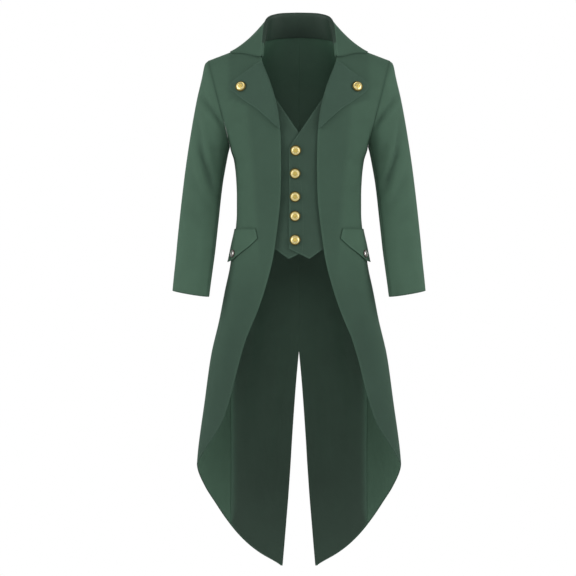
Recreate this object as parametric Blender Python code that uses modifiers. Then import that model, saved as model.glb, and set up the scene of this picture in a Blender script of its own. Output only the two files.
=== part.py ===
"""A cutaway tailcoat, filled out as if worn, with nothing inside it.

Every sheet of cloth is a closed wall. Its points lie at a depth under the coat's outside, so
neighbours meet edge to edge and layers keep their gaps. Lengths here are millimetres, and meshes
are made in metres. +Z is up, the front faces -Y, and the wearer's left is +X. The origin is the
middle of the neck, level with the neck ends of the shoulder seams.
"""

from math import pi

import bmesh
import bpy
import numpy as np
from mathutils import Matrix, Vector

MM = 0.001

# Cloth
CLOTH = 2.0            # thickness of every main wall
LINING = 1.0           # thickness of the dark lining
SEAM = 0.3             # gap between pieces at a seam
LAPEL_LIFT = 1.6       # gap between the front and its lapel
FLAP_LIFT = 1.8        # gap between the front and a flap at its sewn top edge
FLAP_SPRING = 5.0      # how much further the flap's free corner stands off
VEST_GAP = 3.4         # gap between a front's inside and the mock waistcoat
VEST_LAP = 1.2         # gap between the waistcoat's two halves

# Shoulders, armholes and neck
NECK_X = 92.0          # half-width of the neck, where the shoulder seams start
SHOULDER = (227.5, -52.0)   # x, z of the shoulder point
ARMPIT = (172.0, -267.0)    # x, z of the armpit
SEAM_Y = 8.0           # how far behind the middle the shoulder seam lies
NAPE = (78.0, 12.0)    # y, z of the back neck's middle
ROUND_DROP = 150.0     # drop over which a shoulder rounds into the chest
ROUND_POWER = 0.62
SECTION_POWER = 2.3    # superellipse power of the body's sections
ARMHOLE_DEPTH = {"front": 74.0, "back": 82.0}
ARMHOLE_MIDDLE = -172.0     # height at which the armhole is deepest
SIDE_TURN = (42.0, 120.0)   # degrees by which a section stops short at the armhole, and the rise
SIDE_END = -1060.0     # height of the side seam's lower end
SLEEVE_SHIFT = 0.35    # how far the sleeve stands off the armhole

# Buttons: places are x and z, or the girth share and z
VEST_BUTTONS = ((-8.5, -278.0), (-10.0, -335.5), (-10.0, -393.0), (-10.0, -441.0), (-10.0, -500.0))
LAPEL_BUTTON = (144.0, -119.5)
FLAP_BUTTON = (0.79, -535.0)
BIG_BUTTON = 22.0
SMALL_BUTTON = 18.0
BUTTON_GAP = 0.8       # gap under a button's flat back
BUTTON_SIDES = 16


class Table:
    """Rows with named columns, sorted by the first one. Between rows, values follow a smooth
    curve that doesn't overshoot."""

    def __init__(self, names, *rows):
        rows = np.array(sorted(rows), float)
        self.columns = dict(zip(names.split(), rows.T))
        self.keys = rows[:, 0]

    def __call__(self, name, key):
        xs, ys = self.keys, self.columns[name]
        key = np.clip(key, xs[0], xs[-1])
        step, rise = np.diff(xs), np.diff(ys)
        slope = rise / step
        inner = np.where(slope[1:] * slope[:-1] > 0,
                         2 * slope[1:] * slope[:-1] / (slope[1:] + slope[:-1] + 1e-30), 0.0)
        tangent = np.concatenate([slope[:1], inner, slope[-1:]])
        i = np.clip(np.searchsorted(xs, key) - 1, 0, len(step) - 1)
        t = (key - xs[i]) / step[i]
        return (ys[i] + rise[i] * t * t * (3 - 2 * t)
                + step[i] * t * (1 - t) * (tangent[i] * (1 - t) - tangent[i + 1] * t))


# Half-width at the side seam, and how far the front and the back stand from the middle.
BODY = Table(
    "z     half_width front  back",
    (60,    172.0,     80.0,  92.0),
    (-52,   172.0,     92.0,  99.0),
    (-120,  172.0,    106.0, 108.0),
    (-190,  172.0,    115.0, 112.0),
    (-267,  172.0,    117.0, 108.0),
    (-302,  162.5,    115.0, 103.0),
    (-344,  157.5,    111.0,  96.0),
    (-390,  155.5,    106.0,  90.0),
    (-432,  155.5,    103.0,  88.0),
    (-469,  158.0,    103.0,  92.0),
    (-510,  165.0,    106.0, 102.0),
    (-566,  172.5,    110.0, 115.0),
    (-625,  185.0,    114.0, 124.0),
    (-700,  199.5,    118.0, 129.0),
    (-789,  220.0,    122.0, 133.0),
    (-907,  236.5,    126.0, 138.0),
    (-1025, 252.5,    130.0, 143.0),
    (-1060, 255.5,    131.0, 145.0),
    (-1320, 275.0,    140.0, 156.0),
)

# The front's free edge: neck, roll line, straight edge and cutaway.
FRONT_EDGE = Table(
    "z     x",
    (0,     92.0),
    (-43,   94.0),
    (-54,   92.0),
    (-92,   77.5),
    (-126,  65.5),
    (-170,  54.0),
    (-224,  47.0),
    (-316,  45.0),
    (-399,  47.0),
    (-445,  51.5),
    (-501,  58.5),
    (-547,  65.5),
    (-600,  78.5),
    (-661,  97.5),
    (-708, 116.0),
    (-746, 132.0),
    (-798, 148.0),
    (-878, 168.0),
    (-950, 191.0),
    (-1010, 227.0),
    (-1037, 244.0),
    (-1060, 255.5),
)

# Below the side seam the back is one tail, between its hem and the vent.
TAIL = Table(
    "z      hem    vent",
    (-777,  236.0,  0.0),
    (-860,  241.0,  7.5),
    (-1001, 250.0, 17.5),
    (-1060, 255.5, 21.0),
    (-1119, 230.5, 25.0),
    (-1157, 207.0, 27.8),
    (-1195, 182.0, 31.0),
    (-1235, 151.0, 34.3),
    (-1265, 121.0, 36.8),
    (-1287,  92.0, 38.7),
    (-1314,  44.0, 41.0),
)
LINING_X = 172.0       # the lining's outer edge in the skirt
LINING_SHARE = 0.93    # its edge as a share of the half-width, higher up
LINING_HEM = 5.0       # how far it stays inside the tail's hem

# Rows of the panels: shares of the drop from the shoulder seam to the armpit, then heights.
YOKE = (0, 0.012, 0.04, 0.085, 0.15, 0.25, 0.38, 0.53, 0.70, 0.86, 1.0)
FRONT_ROWS = YOKE + (-305, -350, -395, -435, -472, -515, -566, -620, -680, -740, -800, -865,
                     -930, -985, -1025, -1048, -1058)
BACK_ROWS = YOKE + (-305, -350, -395, -435, -472, -515, -566, -620, -690, -777, -860, -940,
                    -1010, -1060, -1090, -1122, -1157, -1195, -1235, -1265, -1287, -1302, -1311)
FRONT_COLUMNS = 8
LINED_COLUMNS = 5
EDGE_COLUMNS = 2

# A sleeve's rings: outer and inner points seen from the front, half its depth, how far its middle
# lies forward, and how much of the armhole's own shape is left.
SLEEVE = Table(
    "ring  out_x  out_z   in_x   in_z  depth  forward armhole",
    (0,    227.5,  -52.0, 172.0, -267.0, 76.0,   -4.0, 1.0),
    (1,    234.0,  -62.0, 173.5, -272.0, 76.0,   -4.0, 0.90),
    (2,    241.5,  -92.0, 176.0, -281.0, 75.0,   -4.0, 0.60),
    (3,    252.5, -136.0, 179.5, -298.0, 72.0,   -4.0, 0.25),
    (4,    263.5, -192.0, 184.0, -322.0, 68.0,   -4.0, 0.0),
    (5,    273.5, -252.0, 189.5, -354.0, 64.0,   -3.0, 0.0),
    (6,    283.0, -316.0, 194.5, -393.0, 60.0,    0.0, 0.0),
    (7,    290.5, -376.0, 199.0, -436.0, 56.5,    5.0, 0.0),
    (8,    297.0, -434.0, 204.0, -482.0, 53.5,   12.0, 0.0),
    (9,    303.0, -492.0, 209.0, -528.0, 50.0,   21.0, 0.0),
    (10,   308.0, -547.0, 215.0, -573.0, 46.5,   31.0, 0.0),
    (11,   312.5, -590.0, 220.0, -610.0, 44.0,   39.0, 0.0),
    (12,   316.0, -625.0, 224.0, -640.0, 42.0,   46.0, 0.0),
)
SLEEVE_GIRTH_RADIUS = 50.0  # a sleeve's usual radius, which turns its seam gap into degrees
INNER_SEAM = 150.0     # degrees round the sleeve, from its outer line by way of the front
BACK_SEAM = 280.0

# The collar from its front end to the middle of the back: the stand's foot, the fold, and the
# edge of the fall. The edge lies down the front of the shoulder where fall_down is negative, and
# down the back where it is positive. In between, the fall hangs by sag and stands out by roll.
COLLAR = Table(
    "along  foot_x foot_y foot_z fold_x fold_y fold_z fall_x fall_down sag  roll",
    (0.00,  90.5,  -54.0, -43.0,  92.5, -63.0, -40.0, 162.0,  -4.0,   1.0, 0.0),
    (0.12,  90.5,  -33.0, -22.0,  90.5, -44.0, -12.0, 169.0,  -1.4,   4.0, 0.0),
    (0.25,  90.3,  -10.0,  -5.0,  88.0, -20.0,  20.0, 171.0,   1.5,   7.0, 0.0),
    (0.40,  89.0,   11.5,   1.9,  85.0,   8.0,  42.0, 163.0,  12.0,   8.0, 0.0),
    (0.60,  78.0,   45.5,   5.6,  73.0,  40.0,  59.0, 128.0,  28.0,   4.0, 3.0),
    (0.80,  43.5,   68.5,  12.0,  41.0,  60.0,  67.0,  70.0,  44.0,   1.0, 7.0),
    (1.00,   0.0,   75.0,  14.5,   0.0,  66.0,  68.5,   0.0,  54.0,   0.0, 9.0),
)
COLLAR_ALONG = (0, 0.06, 0.13, 0.20, 0.28, 0.40, 0.52, 0.64, 0.76, 0.88, 1.0)
FOLD_RADIUS = 3.2
FALL_LIFT = 5.0        # how high the fall rides over the shoulder
EDGE_LIFT = 3.5        # how far its edge stands off the coat

# The lapel: the roll line on the front's edge, and the free edge round its point.
LAPEL = Table(
    "down  roll_z  free_x  free_z",
    (0.00,  -55.0,  95.5,  -55.5),
    (0.20,  -82.0, 125.0,  -77.0),
    (0.45, -110.0, 173.0, -119.5),
    (0.60, -138.0, 150.0, -143.0),
    (0.80, -178.0, 102.0, -177.0),
    (1.00, -222.0,  51.0, -223.0),
)

LAPEL_ROWS = 8
LAPEL_COLUMNS = 6

# The mock waistcoat's half that laps over: its closing edge, then out under the front.
VEST = Table(
    "x      top     bottom",
    (-25,  -270.5, -523.0),
    (0,    -234.0, -534.5),
    (26,   -196.0, -547.0),
    (61,   -145.0, -522.5),
    (92,   -108.0, -518.0),
    (118,   -92.0, -516.0),
)
VEST_COLUMNS = (-25, -12, 0, 13, 26, 44, 61, 90, 118)
VEST_ROWS = 8

# A pocket flap, in shares of the girth from the centre line to the side seam.
FLAP = Table(
    "out    share_top share_low top     bottom",
    (0.00,  0.450,    0.405,  -471.0, -497.0),
    (0.18,  0.545,    0.505,  -470.5, -516.0),
    (0.45,  0.690,    0.672,  -471.0, -537.0),
    (0.75,  0.850,    0.850,  -472.0, -553.0),
    (1.00,  0.985,    0.985,  -473.0, -556.0),
)

FLAP_ROWS = 4
FLAP_COLUMNS = 8

CLOTH_GREEN = (0.060, 0.118, 0.082, 1)
VEST_GREEN = (0.046, 0.085, 0.062, 1)
LINING_GREEN = (0.020, 0.041, 0.027, 1)
GOLD = (0.62, 0.48, 0.18, 1)
SILVER = (0.62, 0.62, 0.58, 1)


def cos_power(angle):
    return np.abs(np.cos(angle)) ** (2 / SECTION_POWER)


def half_width(z):
    """Half-width at the side seam, or at the armhole's straight front-view line above it."""
    rise = (SHOULDER[0] - ARMPIT[0]) / (SHOULDER[1] - ARMPIT[1])
    return np.where(z > ARMPIT[1], ARMPIT[0] + rise * (z - ARMPIT[1]), BODY("half_width", z))


def end_angle(z):
    """The section's angle at the armhole. It is a right angle at the side seam."""
    degrees, rise = SIDE_TURN
    t = np.clip((z - ARMPIT[1]) / rise, 0, 1)
    return np.radians(90 - degrees * t * t * (3 - 2 * t))


def armhole_depth(side, z):
    t = np.clip((ARMHOLE_MIDDLE - z) / (ARMHOLE_MIDDLE - ARMPIT[1]), 0, 1)
    return ARMHOLE_DEPTH[side] * np.sqrt(1 - t * t)


def top_line(side, x):
    """y and z of the shoulder seam, and on the back of the neck edge, at a distance x out."""
    slope = (0 - SHOULDER[1]) / (SHOULDER[0] - NECK_X)
    seam_z = -slope * np.maximum(x - NECK_X, 0)
    seam_y = np.full_like(x, SEAM_Y)
    if side == "back":
        inward = np.clip(1 - (x / NECK_X) ** 2.4, 0, 1)
        seam_y = seam_y + (NAPE[0] - SEAM_Y) * np.sqrt(inward)
        seam_z = seam_z + NAPE[1] * np.clip(1 - (x / NECK_X) ** 2, 0, 1)
    return seam_y, seam_z


def coat_point(side, share, z):
    """Points on the coat's outside, x positive. share is 0 on the centre line and 1 at the side."""
    share, z = np.broadcast_arrays(np.asarray(share, float), np.asarray(z, float))
    last = end_angle(z)
    angle = share * last
    x = half_width(z) * (np.sin(angle) / np.sin(last)) ** (2 / SECTION_POWER)
    edge = armhole_depth(side, z)
    middle = BODY(side, z)
    out = edge + (middle - edge) * (cos_power(angle) - cos_power(last)) / (1 - cos_power(last))
    sign = -1 if side == "front" else 1
    top_y, top_z = top_line(side, x)
    drop = np.clip((top_z - z) / ROUND_DROP, 0, 1)
    rounded = (1 - (1 - drop) ** 2) ** ROUND_POWER
    out = sign * top_y + (out - sign * top_y) * rounded
    return np.stack([x, sign * out, z], -1)


def share_at(x, z):
    """The girth share at which the coat has this x at this height."""
    last = end_angle(z)
    ratio = np.clip(np.abs(x) / half_width(z), 0, 1) ** (SECTION_POWER / 2)
    return np.arcsin(np.clip(ratio * np.sin(last), 0, 1)) / last


def level(side, row, x):
    """Height of a row at x. A negative row is a height, and any other a share of the yoke."""
    if row < 0:
        return np.full_like(x, float(row))
    return top_line(side, x)[1] * (1 - row) + ARMPIT[1] * row


def settle(side, row, share):
    """Heights at which a row passes through these girth shares."""
    z = level(side, row, np.full(len(share), 150.0))
    for _ in range(12):
        z = level(side, row, coat_point(side, share, z)[:, 0])
    return z


def row_ends(side, row, left_x, right_x):
    """Girth shares at which a row meets the edges left_x(z) and right_x(z)."""
    ends = np.array([0.5, 1.0])
    for _ in range(12):
        z = settle(side, row, ends)
        ends = share_at(np.array([left_x(z[0]), right_x(z[1])]), z)
    return ends


def sheet_of(side, grid, depth):
    """Points of (share, z) rows at a depth under the coat's outside, following its normals."""
    share, z = np.stack([g[0] for g in grid]), np.stack([g[1] for g in grid])
    here = coat_point(side, share, z)
    return here - depth * coat_normal(side, share, z)


def coat_normal(side, share, z):
    small = 1e-4
    low, high = np.clip(share - small, 0, 1), np.clip(share + small, 0, 1)
    across = coat_point(side, high, z) - coat_point(side, low, z)
    top = top_line(side, coat_point(side, share, z)[..., 0])[1]
    up = coat_point(side, share, np.minimum(z + 0.02, top)) - coat_point(side, share, z - 0.02)
    normal = np.cross(across, up)
    if side == "back":
        normal = -normal
    return normal / np.linalg.norm(normal, axis=-1, keepdims=True)


def coat_at(side, x, z, depth):
    """Points seen from the front at x and z, x of either sign, at a depth under the outside."""
    x, z = np.broadcast_arrays(np.asarray(x, float), np.asarray(z, float))
    share = share_at(x, z)
    points = coat_point(side, share, z) - depth * coat_normal(side, share, z)
    points[..., 0] *= np.where(x < 0, -1, 1)
    return points


def grid_normals(points):
    """Normals of a grid of points, from its own rows and columns."""
    normal = np.cross(np.gradient(points, axis=1), np.gradient(points, axis=0))
    return normal / np.linalg.norm(normal, axis=-1, keepdims=True)


def material(name, colour, roughness, metallic=0.0):
    made = bpy.data.materials.new(name)
    made.use_nodes = True
    shader = made.node_tree.nodes["Principled BSDF"]
    shader.inputs["Base Color"].default_value = colour
    shader.inputs["Roughness"].default_value = roughness
    shader.inputs["Metallic"].default_value = metallic
    return made


def add_object(name, mesh, look):
    mesh.materials.append(look)
    made = bpy.data.objects.new(name, mesh)
    coat.objects.link(made)
    return made


def wall(name, outer, inner, look, mirrored=False, shift=(0, 0, 0)):
    """A closed wall between two grids of points, moved by shift and mirrored to -X if asked."""
    rows, cols = outer.shape[:2]
    points = np.concatenate([outer.reshape(-1, 3), inner.reshape(-1, 3)])
    points = points + np.asarray(shift, float)
    if mirrored:
        points = points * (-1, 1, 1)
    under = rows * cols
    at = np.arange(under).reshape(rows, cols)
    faces = []
    for r in range(rows - 1):
        for c in range(cols - 1):
            quad = (at[r, c], at[r, c + 1], at[r + 1, c + 1], at[r + 1, c])
            faces.append(quad)
            faces.append(tuple(under + i for i in reversed(quad)))
    rim = [*at[0, :-1], *at[:-1, -1], *at[-1, :0:-1], *at[:0:-1, 0]]
    for here, there in zip(rim, rim[1:] + rim[:1]):
        faces.append((there, here, under + here, under + there))
    mesh = bpy.data.meshes.new(name)
    mesh.from_pydata((points * MM).tolist(), [], [tuple(int(i) for i in f) for f in faces])
    form = bmesh.new()
    form.from_mesh(mesh)
    bmesh.ops.triangulate(form, faces=form.faces)
    if form.calc_volume(signed=True) < 0:
        bmesh.ops.reverse_faces(form, faces=form.faces)
    form.to_mesh(mesh)
    form.free()
    mesh.shade_smooth()
    mesh.set_sharp_from_angle(angle=pi / 4)
    return add_object(name, mesh, look)


def both_sides(name, outer, inner, look, shift=(0, 0, 0)):
    for hand, mirrored in (("left", False), ("right", True)):
        wall(f"{name}_{hand}", outer, inner, look, mirrored, shift)


def front_grid():
    columns = np.linspace(0, 1, FRONT_COLUMNS + 1)
    grid = []
    for row in FRONT_ROWS:
        start, end = row_ends("front", row, lambda z: FRONT_EDGE("x", z), half_width)
        share = start + (end - start) * columns
        grid.append((share, settle("front", row, share)))
    return grid


def make_fronts(look):
    grid = front_grid()
    shift = (0, -SEAM / 2, 0)
    both_sides("front", sheet_of("front", grid, 0), sheet_of("front", grid, CLOTH), look, shift)


def back_side(z):
    """x of the back's outer edge: the armhole and the side seam, then the hem."""
    return np.where(z < SIDE_END - 0.5, TAIL("hem", z), half_width(z))


def lining_edge(z):
    return np.minimum(np.minimum(LINING_SHARE * half_width(z), LINING_X), back_side(z) - LINING_HEM)


def back_grid():
    """Rows of the back. The first columns carry the lining, and the rest are self cloth."""
    lined = np.linspace(0, 1, LINED_COLUMNS + 1)
    bare = np.linspace(0, 1, EDGE_COLUMNS + 1)[1:]
    grid = []
    for row in BACK_ROWS:
        start, end = row_ends("back", row, lambda z: TAIL("vent", z), back_side)
        split = row_ends("back", row, lambda z: TAIL("vent", z), lining_edge)[1]
        share = np.concatenate([start + (split - start) * lined, split + (end - split) * bare])
        grid.append((share, settle("back", row, share)))
    return grid


def make_backs(look, dark):
    grid = back_grid()
    shift = (SEAM / 2, SEAM / 2, 0)
    both_sides("back", sheet_of("back", grid, 0), sheet_of("back", grid, CLOTH), look, shift)
    lined = [(share[:LINED_COLUMNS + 1], z[:LINED_COLUMNS + 1]) for share, z in grid[:-1]]
    top = CLOTH + SEAM
    both_sides("back_lining", sheet_of("back", lined, top),
               sheet_of("back", lined, top + LINING), dark, shift)


def armhole_y(side, z):
    return coat_point(side, np.ones_like(z), z)[..., 1]


def sleeve_point(ring, turn):
    """A point on a sleeve: turn is in degrees from its outer line, by way of the front."""
    ring, turn = np.broadcast_arrays(np.asarray(ring, float), np.radians(turn))
    column = {name: SLEEVE(name, ring) for name in SLEEVE.columns}
    inward = (1 - np.cos(turn)) / 2
    x = column["out_x"] + (column["in_x"] - column["out_x"]) * inward
    z = column["out_z"] + (column["in_z"] - column["out_z"]) * inward
    arm_z = SHOULDER[1] + (ARMPIT[1] - SHOULDER[1]) * inward
    seam = np.where(np.sin(turn) > 0, armhole_y("front", arm_z), armhole_y("back", arm_z))
    y = -column["forward"] - column["depth"] * np.sin(turn)
    return np.stack([x, seam * column["armhole"] + y * (1 - column["armhole"]), z], -1)


def sleeve_normal(ring, turn):
    """The way out of the sleeve. On the armhole it stays in the armhole's own plane."""
    ring, turn = np.broadcast_arrays(np.asarray(ring, float), np.asarray(turn, float))
    around = sleeve_point(ring, turn + 0.5) - sleeve_point(ring, turn - 0.5)
    ahead, behind = np.clip(ring + 0.02, 0, 12), np.clip(ring - 0.02, 0, 12)
    along = sleeve_point(ahead, turn) - sleeve_point(behind, turn)
    normal = np.cross(around, along)
    down = np.array([ARMPIT[0] - SHOULDER[0], 0, ARMPIT[1] - SHOULDER[1]])
    down = down / np.linalg.norm(down)
    planar = np.stack([-down[0] * np.cos(np.radians(turn)), -np.sin(np.radians(turn)),
                       -down[2] * np.cos(np.radians(turn))], -1)
    normal = np.where((ring < 0.01)[..., None], planar, normal)
    return normal / np.linalg.norm(normal, axis=-1, keepdims=True)


def make_sleeves(look):
    rings = SLEEVE.keys[:, None]
    half_gap = np.degrees(SEAM / 2 / SLEEVE_GIRTH_RADIUS)
    spans = {"top_sleeve": (BACK_SEAM - 360 + half_gap, INNER_SEAM - half_gap, 11),
             "under_sleeve": (INNER_SEAM + half_gap, BACK_SEAM - half_gap, 7)}
    for name, (start, end, count) in spans.items():
        turn = np.linspace(start, end, count)[None, :]
        outer = sleeve_point(rings, turn)
        inner = outer - CLOTH * sleeve_normal(rings, turn)
        both_sides(name, outer, inner, look, (SLEEVE_SHIFT, 0, 0))


def coat_height(x, y):
    """How high the coat's shoulder is under a point, or far down where it isn't under it."""
    height = np.full_like(x, -1000.0)
    for side, sign in (("front", -1), ("back", 1)):
        top_y, high = top_line(side, x)
        low = high - ROUND_DROP
        for _ in range(24):
            middle = (low + high) / 2
            short = sign * coat_point(side, share_at(x, middle), middle)[..., 1] < sign * y
            low, high = np.where(short, low, middle), np.where(short, middle, high)
        reached = (sign * (y - top_y) >= 0) & (high > top_line(side, x)[1] - ROUND_DROP + 1)
        height = np.where(reached, high, height)
    return height


def collar_middle(along):
    """The middle surface of the collar: columns run up the stand, over the fold, down the fall."""
    foot = np.stack([COLLAR(f"foot_{a}", along) for a in "xyz"], -1)
    fold = np.stack([COLLAR(f"fold_{a}", along) for a in "xyz"], -1)
    edge_x, down = COLLAR("fall_x", along), COLLAR("fall_down", along)
    edges = {side: coat_at(side, edge_x, top_line(side, edge_x)[1] - np.abs(down), -EDGE_LIFT)
             for side in ("front", "back")}
    edge = np.where(down[:, None] < 0, edges["front"], edges["back"])
    out = (edge - fold) * (1, 1, 0)
    out /= np.linalg.norm(out, axis=-1, keepdims=True)
    up = np.array([0, 0, 1.0])
    stand_top = fold - FOLD_RADIUS * (out + up)
    fall_top = fold + FOLD_RADIUS * (out - up)
    bow = COLLAR("roll", along)[:, None] * out - COLLAR("sag", along)[:, None] * up
    falls = []
    for share in (0.28, 0.52, 0.76, 1.0):
        point = fall_top + (edge - fall_top) * share + bow * 4 * share * (1 - share)
        point[:, 2] = np.maximum(point[:, 2], coat_height(point[:, 0], point[:, 1]) + FALL_LIFT)
        falls.append(point)
    return np.stack([foot, (foot + stand_top) / 2, stand_top, fold, fall_top, *falls], 1)


def make_collar(look, dark):
    half = collar_middle(np.array(COLLAR_ALONG))
    middle = np.concatenate([half, half[-2::-1] * (-1, 1, 1)])
    normal = grid_normals(middle)
    wall("collar", middle + normal * CLOTH / 2, middle - normal * CLOTH / 2, look)
    foot, top = middle[2:-2, :1], middle[2:-2, 2:3]
    stand = foot + (top - foot) * np.array([0.0, 0.45, 0.94])[None, :, None]
    way = grid_normals(stand)
    inside = CLOTH / 2 + SEAM
    wall("stand_facing", stand + way * (inside + LINING), stand + way * inside, dark)


def lapel_grid(depth):
    down = np.linspace(0, 1, LAPEL_ROWS + 1)[:, None]
    across = np.linspace(0, 1, LAPEL_COLUMNS + 1)[None, :]
    roll_z, free_x, free_z = (LAPEL(name, down) for name in ("roll_z", "free_x", "free_z"))
    roll_x = FRONT_EDGE("x", roll_z)
    x = roll_x + (free_x - roll_x) * across
    z = roll_z + (free_z - roll_z) * across
    return coat_at("front", x, z, depth)


def make_lapels(look):
    both_sides("lapel", lapel_grid(-LAPEL_LIFT - CLOTH), lapel_grid(-LAPEL_LIFT), look,
               (0, -SEAM / 2, 0))


def vest_grid(depth):
    x = np.array(VEST_COLUMNS, float)[None, :]
    down = np.linspace(0, 1, VEST_ROWS + 1)[:, None]
    top, bottom = VEST("top", x), VEST("bottom", x)
    return coat_at("front", x, top + (bottom - top) * down, depth)


def make_vest(look):
    upper = CLOTH + VEST_GAP
    under = upper + CLOTH + VEST_LAP
    wall("vest_left", vest_grid(upper), vest_grid(upper + CLOTH), look)
    wall("vest_right", vest_grid(under), vest_grid(under + CLOTH), look, mirrored=True)


def flap_point(out, down, depth):
    """A point on a flap at a depth from its back: its free corner springs away from the coat."""
    share = FLAP("share_top", out) * (1 - down) + FLAP("share_low", out) * down
    z = FLAP("top", out) * (1 - down) + FLAP("bottom", out) * down
    lift = FLAP_LIFT + FLAP_SPRING * out ** 2 * down ** 1.5 - depth
    return coat_point("front", share, z) + np.asarray(lift)[..., None] * coat_normal("front", share, z)


def make_flaps(look):
    out = np.linspace(0, 1, FLAP_COLUMNS + 1)[None, :]
    down = np.linspace(0, 1, FLAP_ROWS + 1)[:, None]
    out, down = np.broadcast_arrays(out, down)
    both_sides("flap", flap_point(out, down, -CLOTH), flap_point(out, down, 0), look,
               (0, -SEAM / 2, 0))


# Down a button's face, over its rim and back across its flat back: the radius as a share of the
# button's, and the height as a share of its diameter.
BUTTON_PROFILE = ((0, 0.18), (0.50, 0.15), (0.76, 0.10), (0.82, 0.13), (0.93, 0.13), (1, 0.09),
                  (1, 0.03), (0.94, 0), (0, 0))


def make_button(name, diameter, seat, way, look):
    """A turned shank button: a raised rim round a low dome, with a flat back."""
    mesh = bpy.data.meshes.new(name)
    points = [(share * diameter / 2 * MM, 0, height * diameter * MM)
              for share, height in BUTTON_PROFILE]
    mesh.from_pydata(points, [(i, i + 1) for i in range(len(points) - 1)], [])
    made = add_object(name, mesh, look)
    turned = made.modifiers.new("turned", "SCREW")
    turned.steps = turned.render_steps = BUTTON_SIDES
    turned.use_merge_vertices = True
    turned.merge_threshold = 0.01 * MM
    turned.use_smooth_shade = True
    facing = Vector(way).to_track_quat("Z", "Y").to_matrix().to_4x4()
    made.matrix_world = Matrix.Translation(Vector(seat) * MM) @ facing


def flap_seat(share, z):
    """The place on a flap's outer face at this girth share and height, and the way it faces."""
    outs = np.linspace(0, 1, 201)
    downs = (z - FLAP("top", outs)) / (FLAP("bottom", outs) - FLAP("top", outs))
    shares = FLAP("share_top", outs) * (1 - downs) + FLAP("share_low", outs) * downs
    nearest = int(np.argmin(np.abs(shares - share)))
    out, down = outs[nearest], downs[nearest]
    here = flap_point(out, down, -CLOTH)
    way = np.cross(flap_point(out + 0.01, down, -CLOTH) - here,
                   flap_point(out, down - 0.01, -CLOTH) - here)
    return here - (0, SEAM / 2, 0), way / np.linalg.norm(way)


def make_buttons(gold, silver):
    for number, (x, z) in enumerate(VEST_BUTTONS, 1):
        seat = coat_at("front", x, z, CLOTH + VEST_GAP - BUTTON_GAP)
        way = coat_at("front", x, z, 0) - seat
        make_button(f"vest_button_{number}", BIG_BUTTON, seat, way, gold)
    lapel_seat = coat_at("front", *LAPEL_BUTTON, -LAPEL_LIFT - CLOTH - BUTTON_GAP - SEAM)
    lapel_way = lapel_seat - coat_at("front", *LAPEL_BUTTON, 0)
    seat, flap_way = flap_seat(*FLAP_BUTTON)
    for hand, mirror in (("left", (1, 1, 1)), ("right", (-1, 1, 1))):
        make_button(f"lapel_button_{hand}", BIG_BUTTON, lapel_seat * mirror, lapel_way * mirror, gold)
        make_button(f"flap_button_{hand}", SMALL_BUTTON, (seat + flap_way * BUTTON_GAP) * mirror,
                    flap_way * mirror, silver)


for old in list(bpy.data.objects):
    bpy.data.objects.remove(old)
coat = bpy.data.collections.new("tailcoat")
bpy.context.scene.collection.children.link(coat)

cloth_look = material("green_cloth", CLOTH_GREEN, 0.85)
vest_look = material("waistcoat_cloth", VEST_GREEN, 0.85)
lining_look = material("dark_lining", LINING_GREEN, 0.6)
gold_look = material("gold_button", GOLD, 0.3, 1.0)
silver_look = material("silver_button", SILVER, 0.3, 1.0)

make_fronts(cloth_look)
make_backs(cloth_look, lining_look)
make_sleeves(cloth_look)
make_collar(cloth_look, lining_look)
make_lapels(cloth_look)
make_vest(vest_look)
make_flaps(cloth_look)
make_buttons(gold_look, silver_look)
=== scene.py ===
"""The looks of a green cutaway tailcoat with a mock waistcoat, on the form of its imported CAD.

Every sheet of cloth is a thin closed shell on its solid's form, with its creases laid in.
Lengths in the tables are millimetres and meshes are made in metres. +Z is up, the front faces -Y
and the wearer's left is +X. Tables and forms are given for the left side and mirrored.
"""

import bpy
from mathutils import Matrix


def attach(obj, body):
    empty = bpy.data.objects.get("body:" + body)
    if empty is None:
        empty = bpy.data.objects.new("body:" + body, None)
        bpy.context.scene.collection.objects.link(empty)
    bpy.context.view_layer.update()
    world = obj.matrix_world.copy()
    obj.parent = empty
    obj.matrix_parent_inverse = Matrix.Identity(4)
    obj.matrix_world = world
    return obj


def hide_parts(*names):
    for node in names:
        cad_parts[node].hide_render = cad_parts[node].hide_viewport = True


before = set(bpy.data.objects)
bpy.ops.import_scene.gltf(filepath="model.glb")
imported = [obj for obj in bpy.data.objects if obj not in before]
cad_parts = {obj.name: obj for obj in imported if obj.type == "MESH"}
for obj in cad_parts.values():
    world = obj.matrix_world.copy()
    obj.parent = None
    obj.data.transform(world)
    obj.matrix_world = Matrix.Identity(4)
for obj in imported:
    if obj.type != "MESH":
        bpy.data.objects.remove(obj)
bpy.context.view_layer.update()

import copy
from math import pi, radians

import bpy
import numpy as np
from mathutils import Vector

MM = 0.001

# ---------------------------------------------------------------- sizes of the cut

CLOTH = 2.0            # thickness of the coat's and the waistcoat's cloth
LINING = 1.0           # thickness of the lining
SEAM = 0.3             # gap between layers
CLOSE = 0.25           # how far a round edge presses into its neighbour at a seam
LAPEL_LIFT = 1.6       # gap between the front and its lapel
ROLL_ROOM = 3.1        # how far the front stops short of the roll line, to leave room for the roll
FLAP_LIFT = 1.3        # gap between the front and a flap at its sewn top edge
FLAP_SPRING = 5.0      # how much further the flap's free corner stands off
VEST_GAP = 3.4         # gap between a front's inside and the waistcoat
VEST_LAP = 1.2         # gap between the waistcoat's two halves
STEP = 6.0             # spacing of the cloth's points away from its edges
NEAR_EDGE = (0.0, 2.2, 5.5)  # distances of the points nearest to an edge

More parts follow.
